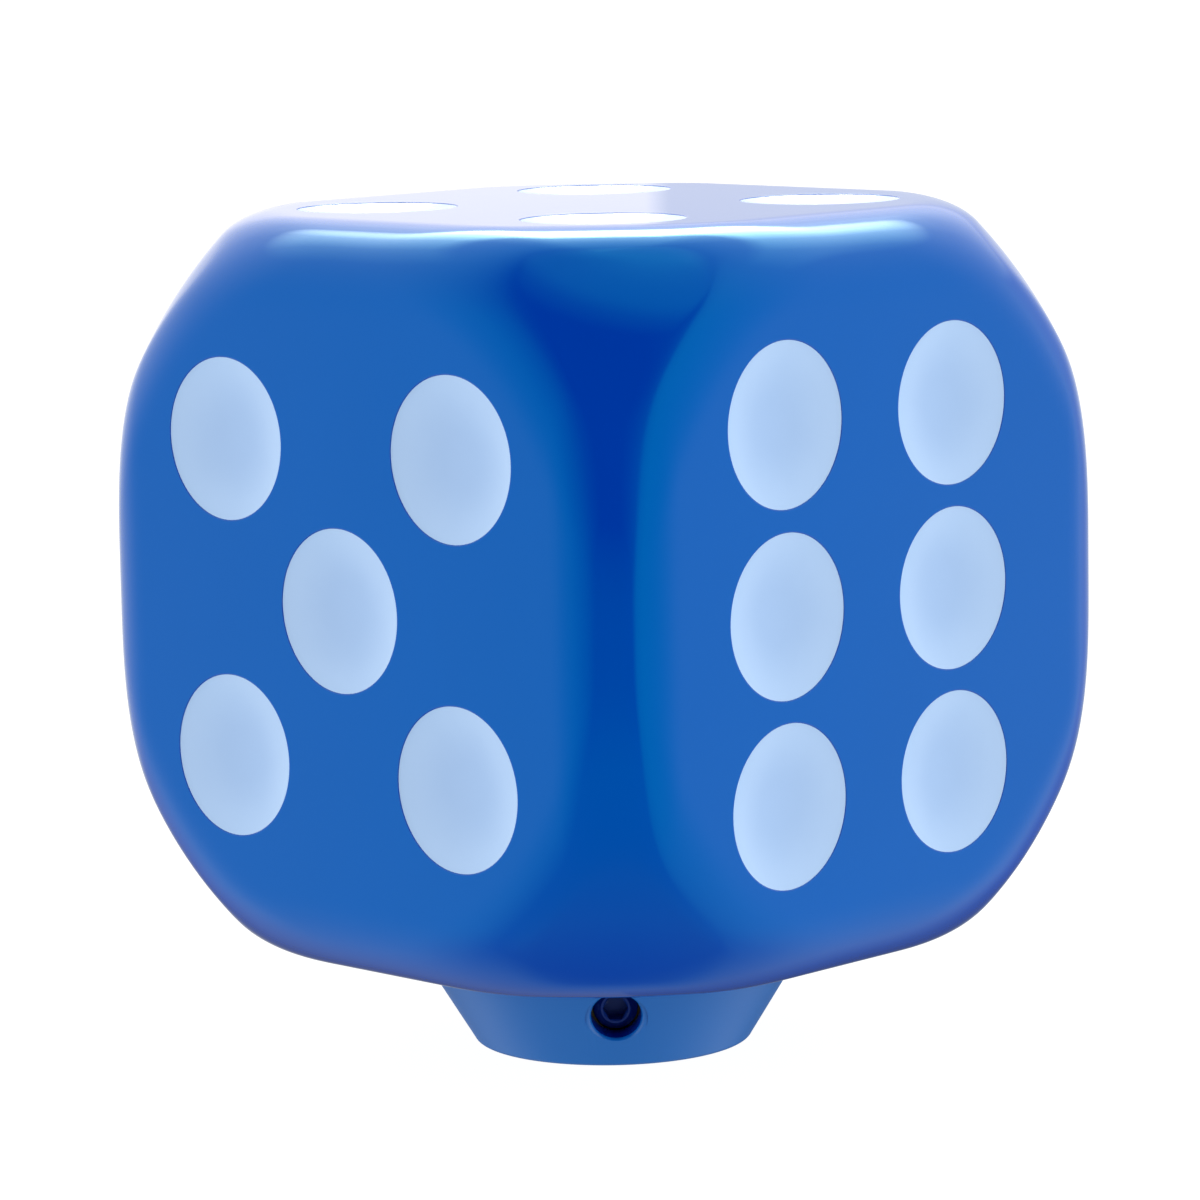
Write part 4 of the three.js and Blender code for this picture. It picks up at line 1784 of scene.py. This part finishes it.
@dataclass(frozen=True)
class Tent:
    """A white light tent, given as the radiance in each direction round the knob.

    Each field of stops is a list of places along one coordinate, and the radiance or the share there.
    Coordinates run from -1 to 1: "across" is to the camera's right, "rise" is straight up. The camera
    looks in through a dark gap. A softbox hangs high up behind the knob and ends in a sharp edge.
    Each range is where something fades in, from none to all of it.
    """

    toward_camera: float
    across: Stops = (
        (-1, 0.93), (-0.85, 0.85), (-0.6, 0.52), (-0.35, 0.15), (-0.2, 0.0),
        (0.15, 0.0), (0.28, 0.12), (0.4, 0.3), (0.49, 0.9), (0.6, 1.04), (1, 0.99),
    )  # fmt: skip
    roof: Stops = ((0.88, 0.0), (0.915, 0.3), (0.94, 0.66), (0.97, 0.75), (0.985, 0.9), (1, 1.25))
    ground: Stops = (
        (-1, 0.3), (-0.97, 0.4), (-0.9, 0.47), (-0.34, 0.5), (-0.26, 0.44), (-0.17, 0.32), (-0.08, 0.15),
        (0, 0.0),
    )  # fmt: skip
    lower_walls: Stops = ((-1, 0.25), (-0.97, 0.42), (-0.82, 0.56), (-0.7, 0.78), (-0.57, 0.92), (-0.38, 1))
    lower_back: Stops = (
        (-1, 0.06), (-0.5, 0.12), (-0.4, 0.2), (-0.3, 0.45), (-0.2, 0.85), (-0.1, 1),
    )  # fmt: skip
    softbox: Stops = (
        (-0.2, 0.0), (-0.1, 0.25), (0.08, 0.28), (0.17, 0.4), (0.34, 0.7), (0.5, 1.2), (0.57, 2.0),
        (0.61, 11.0), (0.64, 15.0), (0.77, 15.0), (0.8, 8.0), (0.82, 3.0), (0.88, 1.8), (0.92, 1.2),
        (0.96, 0.8), (1, 0.3),
    )  # fmt: skip
    softbox_turn: float = math.radians(-4.5)
    softbox_across: Stops = ((0, 1), (0.07, 1), (0.13, 0.5), (0.2, 0.18), (0.3, 0.05), (0.42, 0))
    back_wall: float = 0.98
    across_full: float = 1.3
    brightest: float = 16
    roof_lean: float = 0.15
    back_edge: Range = (0.3, -0.3)
    far_back_edge: Range = (-0.3, -0.95)
    ground_edge: Range = (-0.4, 0.3)
    ground_far: float = 0.2
    screen_side: Range = (0.0105, 0.015)
    screen_top: Range = (0.26, 0.21)
    screen_behind: Range = (-0.5, -0.7)
    screen_shade: float = 0.74
    behind: float = 1.0
    colour: Colour = (0.98, 0.99, 1.0, 1.0)
    screen_colour: Colour = (0.8, 0.9, 1.0, 1.0)
    softbox_colour: Colour = (1.0, 0.86, 0.84, 1.0)

    def build(self) -> None:
        """Builds the world's node tree."""
        world = bpy.data.worlds.new("tent")
        world.use_nodes = True
        bpy.context.scene.world = world
        tree = world.node_tree
        nodes, links = tree.nodes, tree.links
        nodes.clear()

        direction_frame = nodes.new("NodeFrame")
        direction_frame.label = "Direction"
        wall_frame = nodes.new("NodeFrame")
        wall_frame.label = "Walls and the gap between them"
        low_frame = nodes.new("NodeFrame")
        low_frame.label = "Roof and ground"
        back_frame = nodes.new("NodeFrame")
        back_frame.label = "Softbox and screen behind the knob"

        ray = nodes.new("ShaderNodeTexCoord")
        ray.label = "Direction of the ray"
        turn = nodes.new("ShaderNodeVectorRotate")
        turn.label = "Turn X towards the camera"
        unit = nodes.new("ShaderNodeVectorMath")
        unit.label = "Unit length"
        split = nodes.new("ShaderNodeSeparateXYZ")
        split.label = "Each direction"
        across_share = nodes.new("ShaderNodeMapRange")
        across_share.label = "Across, 0 to 1"
        rise_share = nodes.new("ShaderNodeMapRange")
        rise_share.label = "Rise, 0 to 1"
        across = nodes.new("ShaderNodeValToRGB")
        across.label = "Front walls, left to right"
        behind_walls = nodes.new("ShaderNodeMapRange")
        behind_walls.label = "Round the back"
        walls = nodes.new("ShaderNodeMix")
        walls.label = "Front walls to back wall"
        lower_walls = nodes.new("ShaderNodeValToRGB")
        lower_walls.label = "Walls darken towards the ground"
        lower_back = nodes.new("ShaderNodeValToRGB")
        lower_back.label = "Back wall darkens sooner"
        far_back = nodes.new("ShaderNodeMapRange")
        far_back.label = "Straight behind the knob"
        lower = nodes.new("ShaderNodeMix")
        lower.label = "Front fall-off to back fall-off"
        shaded = nodes.new("ShaderNodeMath")
        shaded.label = "Walls with their fall-off"
        roof_place = nodes.new("ShaderNodeMath")
        roof_place.label = "Roof hangs lower on the right"
        roof_share = nodes.new("ShaderNodeMapRange")
        roof_share.label = "Roof, 0 to 1"
        roof = nodes.new("ShaderNodeValToRGB")
        roof.label = "Roof"
        roofed = nodes.new("ShaderNodeMath")
        roofed.label = "Roof over the gap"
        ground = nodes.new("ShaderNodeValToRGB")
        ground.label = "Ground"
        ground_near = nodes.new("ShaderNodeMapRange")
        ground_near.label = "On the camera's side"
        ground_lit = nodes.new("ShaderNodeMath")
        ground_lit.label = "Ground is lit on the camera's side"
        grounded = nodes.new("ShaderNodeMath")
        grounded.label = "Ground under the gap"
        softbox = nodes.new("ShaderNodeValToRGB")
        softbox.label = "Softbox, bottom to top"
        back_turn = nodes.new("ShaderNodeVectorRotate")
        back_turn.label = "Turn X to the softbox's back"
        back_split = nodes.new("ShaderNodeSeparateXYZ")
        back_split.label = "Each direction from the softbox"
        toward = nodes.new("ShaderNodeMath")
        toward.label = "Towards the softbox"
        bearing = nodes.new("ShaderNodeMath")
        bearing.label = "Bearing from the softbox"
        aside = nodes.new("ShaderNodeMath")
        aside.label = "Bearing, either way"
        half_turns = nodes.new("ShaderNodeMath")
        half_turns.label = "Bearing as half turns"
        softbox_side = nodes.new("ShaderNodeValToRGB")
        softbox_side.label = "Softbox fades at its sides"
        softbox_lit = nodes.new("ShaderNodeMath")
        softbox_lit.label = "Softbox"
        softbox_strength = nodes.new("ShaderNodeMath")
        softbox_strength.label = "Softbox at full strength"
        screen_side = nodes.new("ShaderNodeMapRange")
        screen_side.label = "Right of the screen's edge"
        screen_top = nodes.new("ShaderNodeMapRange")
        screen_top.label = "Below the screen's top edge"
        screen_back = nodes.new("ShaderNodeMapRange")
        screen_back.label = "Behind the knob only"
        screen_edge = nodes.new("ShaderNodeMath")
        screen_edge.label = "Behind the knob, right of the edge"
        screen = nodes.new("ShaderNodeMath")
        screen.label = "On the screen"
        shade = nodes.new("ShaderNodeMapRange")
        shade.label = "Screen's shade"
        total = nodes.new("ShaderNodeMath")
        total.label = "Walls at full strength"
        radiance = nodes.new("ShaderNodeMath")
        radiance.label = "Walls behind the screen"
        colour = nodes.new("ShaderNodeMix")
        colour.label = "White, or the screen's own colour"
        tent = nodes.new("ShaderNodeBackground")
        tent.label = "Light of the tent"
        lamp = nodes.new("ShaderNodeBackground")
        lamp.label = "Light of the softbox"
        both = nodes.new("ShaderNodeAddShader")
        both.label = "What lights the knob"
        seen = nodes.new("ShaderNodeBackground")
        seen.label = "What shows behind it"
        path = nodes.new("ShaderNodeLightPath")
        path.label = "Seen or reflected"
        choose = nodes.new("ShaderNodeMixShader")
        choose.label = "White behind the knob"
        output = nodes.new("ShaderNodeOutputWorld")
        output.label = "Studio"
        for node in (turn, unit, split, across_share, rise_share):
            node.parent = direction_frame
        for node in (across, behind_walls, walls):
            node.parent = wall_frame
        for node in (
            lower_walls, lower_back, far_back, lower, shaded, roof_place, roof_share, roof, roofed,
            ground, ground_near, ground_lit, grounded,
        ):  # fmt: skip
            node.parent = low_frame
        for node in (
            softbox, back_turn, back_split, toward, bearing, aside, half_turns, softbox_side,
            softbox_lit, softbox_strength, screen_side, screen_top, screen_back, screen_edge, screen,
            shade,
        ):  # fmt: skip
            node.parent = back_frame
        lay_out(tree)

        for node in (
            shaded, ground_lit, toward, softbox_lit, softbox_strength,
            screen_edge, screen, total, radiance,
        ):  # fmt: skip
            node.operation = "MULTIPLY"
        for ramp, stops, full in (
            (across, self.across, self.across_full),
            (roof, self.roof, self.across_full),
            (ground, self.ground, self.across_full),
            (lower_walls, self.lower_walls, 1),
            (lower_back, self.lower_back, 1),
            (softbox, self.softbox, self.brightest),
        ):
            elements = ramp.color_ramp.elements
            while len(elements) < len(stops):
                elements.new(1)
            for element, (place, value) in zip(elements, stops):
                element.position = (place + 1) / 2
                element.color = (value / full, value / full, value / full, 1)
        turn.rotation_type = "Z_AXIS"
        turn.inputs["Angle"].default_value = -self.toward_camera
        unit.operation = "NORMALIZE"
        roof_place.operation = "MULTIPLY_ADD"
        roof_place.inputs[1].default_value = self.roof_lean
        for share in (across_share, rise_share, roof_share):
            share.inputs["From Min"].default_value = -1
        walls.inputs[3].default_value = self.back_wall / self.across_full
        roofed.operation = "MAXIMUM"
        for edge, (start, end) in (
            (behind_walls, self.back_edge),
            (far_back, self.far_back_edge),
            (ground_near, self.ground_edge),
            (screen_side, self.screen_side),
            (screen_top, self.screen_top),
            (screen_back, self.screen_behind),
        ):
            edge.inputs["From Min"].default_value = start
            edge.inputs["From Max"].default_value = end
        for edge in (behind_walls, far_back, ground_near):
            edge.interpolation_type = "SMOOTHSTEP"
        ground_near.inputs["To Min"].default_value = self.ground_far
        grounded.operation = "MAXIMUM"
        back_turn.rotation_type = "Z_AXIS"
        back_turn.inputs["Angle"].default_value = -self.softbox_turn
        toward.inputs[1].default_value = -1
        bearing.operation = "ARCTAN2"
        aside.operation = "ABSOLUTE"
        half_turns.operation = "DIVIDE"
        half_turns.inputs[1].default_value = math.pi
        while len(softbox_side.color_ramp.elements) < len(self.softbox_across):
            softbox_side.color_ramp.elements.new(1)
        for element, (place, value) in zip(softbox_side.color_ramp.elements, self.softbox_across):
            element.position = place
            element.color = (value, value, value, 1)
        softbox_strength.inputs[1].default_value = self.brightest
        shade.inputs["To Min"].default_value = 1
        shade.inputs["To Max"].default_value = self.screen_shade
        total.inputs[1].default_value = self.across_full
        colour.data_type = "RGBA"
        colour.inputs[6].default_value = self.colour
        colour.inputs[7].default_value = self.screen_colour
        lamp.inputs["Color"].default_value = self.softbox_colour
        seen.inputs["Color"].default_value = (1, 1, 1, 1)
        seen.inputs["Strength"].default_value = self.behind

        links.new(ray.outputs["Generated"], turn.inputs["Vector"])
        links.new(turn.outputs["Vector"], unit.inputs[0])
        links.new(unit.outputs[0], split.inputs[0])
        links.new(split.outputs["Y"], across_share.inputs["Value"])
        links.new(split.outputs["Z"], rise_share.inputs["Value"])
        links.new(across_share.outputs["Result"], across.inputs["Fac"])
        links.new(split.outputs["X"], behind_walls.inputs["Value"])
        links.new(behind_walls.outputs["Result"], walls.inputs[0])
        links.new(across.outputs["Color"], walls.inputs[2])
        for ramp in (lower_walls, lower_back, ground, softbox):
            links.new(rise_share.outputs["Result"], ramp.inputs["Fac"])
        links.new(split.outputs["X"], far_back.inputs["Value"])
        links.new(far_back.outputs["Result"], lower.inputs[0])
        links.new(lower_walls.outputs["Color"], lower.inputs[2])
        links.new(lower_back.outputs["Color"], lower.inputs[3])
        links.new(walls.outputs[0], shaded.inputs[0])
        links.new(lower.outputs[0], shaded.inputs[1])
        links.new(shaded.outputs[0], roofed.inputs[0])
        links.new(split.outputs["Y"], roof_place.inputs[0])
        links.new(split.outputs["Z"], roof_place.inputs[2])
        links.new(roof_place.outputs[0], roof_share.inputs["Value"])
        links.new(roof_share.outputs["Result"], roof.inputs["Fac"])
        links.new(roof.outputs["Color"], roofed.inputs[1])
        links.new(split.outputs["X"], ground_near.inputs["Value"])
        links.new(ground.outputs["Color"], ground_lit.inputs[0])
        links.new(ground_near.outputs["Result"], ground_lit.inputs[1])
        links.new(roofed.outputs[0], grounded.inputs[0])
        links.new(ground_lit.outputs[0], grounded.inputs[1])
        links.new(unit.outputs[0], back_turn.inputs["Vector"])
        links.new(back_turn.outputs["Vector"], back_split.inputs[0])
        links.new(back_split.outputs["X"], toward.inputs[0])
        links.new(back_split.outputs["Y"], bearing.inputs[0])
        links.new(toward.outputs[0], bearing.inputs[1])
        links.new(bearing.outputs[0], aside.inputs[0])
        links.new(aside.outputs[0], half_turns.inputs[0])
        links.new(half_turns.outputs[0], softbox_side.inputs["Fac"])
        links.new(softbox.outputs["Color"], softbox_lit.inputs[0])
        links.new(softbox_side.outputs["Color"], softbox_lit.inputs[1])
        links.new(softbox_lit.outputs[0], softbox_strength.inputs[0])
        links.new(grounded.outputs[0], total.inputs[0])
        links.new(split.outputs["Y"], screen_side.inputs["Value"])
        links.new(split.outputs["Z"], screen_top.inputs["Value"])
        links.new(split.outputs["X"], screen_back.inputs["Value"])
        links.new(screen_side.outputs["Result"], screen_edge.inputs[0])
        links.new(screen_back.outputs["Result"], screen_edge.inputs[1])
        links.new(screen_edge.outputs[0], screen.inputs[0])
        links.new(screen_top.outputs["Result"], screen.inputs[1])
        links.new(screen.outputs[0], shade.inputs["Value"])
        links.new(total.outputs[0], radiance.inputs[0])
        links.new(shade.outputs["Result"], radiance.inputs[1])
        links.new(screen.outputs[0], colour.inputs[0])
        links.new(colour.outputs[2], tent.inputs["Color"])
        links.new(radiance.outputs[0], tent.inputs["Strength"])
        links.new(path.outputs["Is Camera Ray"], choose.inputs[0])
        links.new(softbox_strength.outputs[0], lamp.inputs["Strength"])
        links.new(tent.outputs[0], both.inputs[0])
        links.new(lamp.outputs[0], both.inputs[1])
        links.new(both.outputs[0], choose.inputs[1])
        links.new(seen.outputs[0], choose.inputs[2])
        links.new(choose.outputs[0], output.inputs["Surface"])


@dataclass(frozen=True)
class FillPanels:
    """Two broad panels beside the camera that fill the knob's front. They don't show in its gloss."""

    toward_camera: float
    aim: Vector
    turn: float = math.radians(61)
    distance: float = 0.8
    side: float = 0.9
    left_radiance: float = 1.45
    right_radiance: float = 1.2

    def build(self) -> None:
        """Builds a panel on each side of the camera."""
        panels = (("left_fill", -1, self.left_radiance), ("right_fill", 1, self.right_radiance))
        for name, way, radiance in panels:
            light = bpy.data.lights.new(name, "AREA")
            light.shape = "SQUARE"
            light.size = self.side
            light.energy = radiance * math.pi * self.side**2
            made = bpy.data.objects.new(name, light)
            bpy.context.scene.collection.objects.link(made)
            bearing = self.toward_camera + way * self.turn
            away = Vector((math.cos(bearing), math.sin(bearing), 0))
            made.location = self.aim + away * self.distance
            made.rotation_euler = away.to_track_quat("Z", "Y").to_euler()
            made.visible_camera = False
            made.visible_glossy = False


@dataclass(frozen=True)
class Floor:
    """A wide pale floor that takes only the faintest shadow. It doesn't show in the knob's gloss."""

    size: float = 12
    colour: Colour = (0.1, 0.1, 0.1, 1.0)
    glow: float = 0.975
    mottle: float = 0.03

    def build(self) -> None:
        """Builds the floor at the height of the knob's foot."""
        shape = bmesh.new()
        bmesh.ops.create_grid(shape, x_segments=1, y_segments=1, size=self.size / 2)
        mesh = finished_mesh(shape, "floor", Turning.sharp_above)
        mesh.materials.append(self._finish())
        floor = new_object(mesh, "floor")
        floor.visible_glossy = False
        floor.visible_diffuse = False
        floor.visible_shadow = False
        floor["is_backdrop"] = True

    def _finish(self) -> bpy.types.Material:
        """Builds the floor's material: matt white paper, lit a little from below.

        Returns:
            The material.
        """
        material = bpy.data.materials.new("paper")
        material.use_nodes = True
        tree = material.node_tree
        nodes, links = tree.nodes, tree.links
        nodes.clear()
        place = nodes.new("ShaderNodeTexCoord")
        place.label = "Place on the floor"
        fibre = nodes.new("ShaderNodeTexNoise")
        fibre.label = "Fibre of the paper"
        relief = nodes.new("ShaderNodeBump")
        relief.label = "Fibre as relief"
        shader = nodes.new("ShaderNodeBsdfPrincipled")
        shader.label = "Paper"
        output = nodes.new("ShaderNodeOutputMaterial")
        output.label = "Floor"
        lay_out(tree)
        fibre.inputs["Scale"].default_value = 700
        relief.inputs["Strength"].default_value = self.mottle
        relief.inputs["Distance"].default_value = 0.05 * MM
        shader.inputs["Base Color"].default_value = self.colour
        shader.inputs["Roughness"].default_value = 0.9
        shader.inputs["Specular IOR Level"].default_value = 0.0
        shader.inputs["Emission Color"].default_value = (1, 1, 1, 1)
        shader.inputs["Emission Strength"].default_value = self.glow
        links.new(place.outputs["Object"], fibre.inputs["Vector"])
        links.new(fibre.outputs["Fac"], relief.inputs["Height"])
        links.new(relief.outputs["Normal"], shader.inputs["Normal"])
        links.new(shader.outputs["BSDF"], output.inputs["Surface"])
        return material


@dataclass(frozen=True)
class Viewpoint:
    """The camera: a long lens, a little above the knob, looking at the edge between five and six."""

    die_centre: Vector
    azimuth: float = math.radians(43.998)
    elevation: float = math.radians(8.224)
    roll: float = math.radians(-1.031)
    distance: float = 345.9 * MM
    aim_right: float = -0.355 * MM
    aim_up: float = -2.133 * MM
    lens: float = 151.64
    sensor: float = 36

    @property
    def bearing(self) -> float:
        """The direction from the knob to the camera, counted round Z from +X."""
        return self.azimuth - math.pi / 2

    def build(self) -> None:
        """Builds the camera and makes it the scene's own."""
        level = math.cos(self.elevation)
        back = Vector(
            (math.cos(self.bearing) * level, math.sin(self.bearing) * level, math.sin(self.elevation))
        )
        level_right = Vector((math.cos(self.azimuth), math.sin(self.azimuth), 0))
        right = Matrix.Rotation(self.roll, 3, back) @ level_right
        up = back.cross(right)
        camera = bpy.data.cameras.new("camera")
        camera.lens = self.lens
        camera.sensor_width = self.sensor
        camera.clip_start = 1 * MM
        made = bpy.data.objects.new("camera", camera)
        bpy.context.scene.collection.objects.link(made)
        turned = Matrix((right, up, back)).transposed().to_4x4()
        place = self.die_centre + right * self.aim_right + up * self.aim_up + back * self.distance
        made.matrix_world = Matrix.Translation(place) @ turned
        bpy.context.scene.camera = made


def main() -> None:
    """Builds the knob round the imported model, and the studio round the knob."""
    logging.basicConfig(level=logging.INFO, format="%(name)s: %(message)s")
    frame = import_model()
    cad_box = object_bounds()
    low, high = cad_box
    half_side = (high.x - low.x) / 2
    die_centre = Vector((0, 0, high.z - half_side))

    polished = CastResin(
        "polished_resin",
        roughness=0.045,
        tint=(0.0, 0.95, 1.0, 1.0),
        grain_depth=0.01 * MM,
    )
    satin_painted_sheen = CastResin(
        "satin_resin",
        roughness=0.3,
        tint=(0.85, 1.0, 1.0, 1.0),
        grain_depth=0.02 * MM,
        level=0.75,
        # Lighter and greener than the die's resin: a painted sheen of the pale ground that the sloping collar
        # faces, on the same resin.
        colour=(0.0, 0.12, 0.46, 1.0),
        drift_colour=(0.0, 0.13, 0.48, 1.0),
    )
    cut = CastResin("cut_resin", roughness=0.16, tint=(0.3, 1.0, 1.0, 1.0), grain_depth=0.01 * MM)

    screws = [Screw.read(frame, name) for name in ("front", "left", "right")]
    pips = Pips(list(frame["nodes"]), die_centre, half_side)

    casting = Casting(die_centre, half_side, polished.build(), satin_painted_sheen.build(), cut.build())
    fit(casting.build(pips, screws), "knob", ["die_body"])
    fit(BrassCup(TurnedBrass().build()).build(screws), "knob", ["threaded_socket"])
    fit(NylonSleeve(MouldedNylon().build()).build(), "adapter", ["lever_adapter"])
    pale = PipEnamel().build()
    for face in pips.faces:
        fit(pips.enamel(face, pale), "knob", pips.nodes_of(face))
    grub_screws = GrubScrews(OxideSteelWithPaintedBlueLight().build())
    for screw in screws:
        node = f"grub_screw_{screw.name}"
        fit(grub_screws.build(screw), f"screw_{screw.name}", [node])

    viewpoint = Viewpoint(die_centre)
    viewpoint.build()
    Tent(viewpoint.bearing).build()
    FillPanels(viewpoint.bearing, die_centre).build()
    Floor().build()
    bpy.context.scene.view_settings.view_transform = "Standard"


if __name__ == "__main__":
    main()
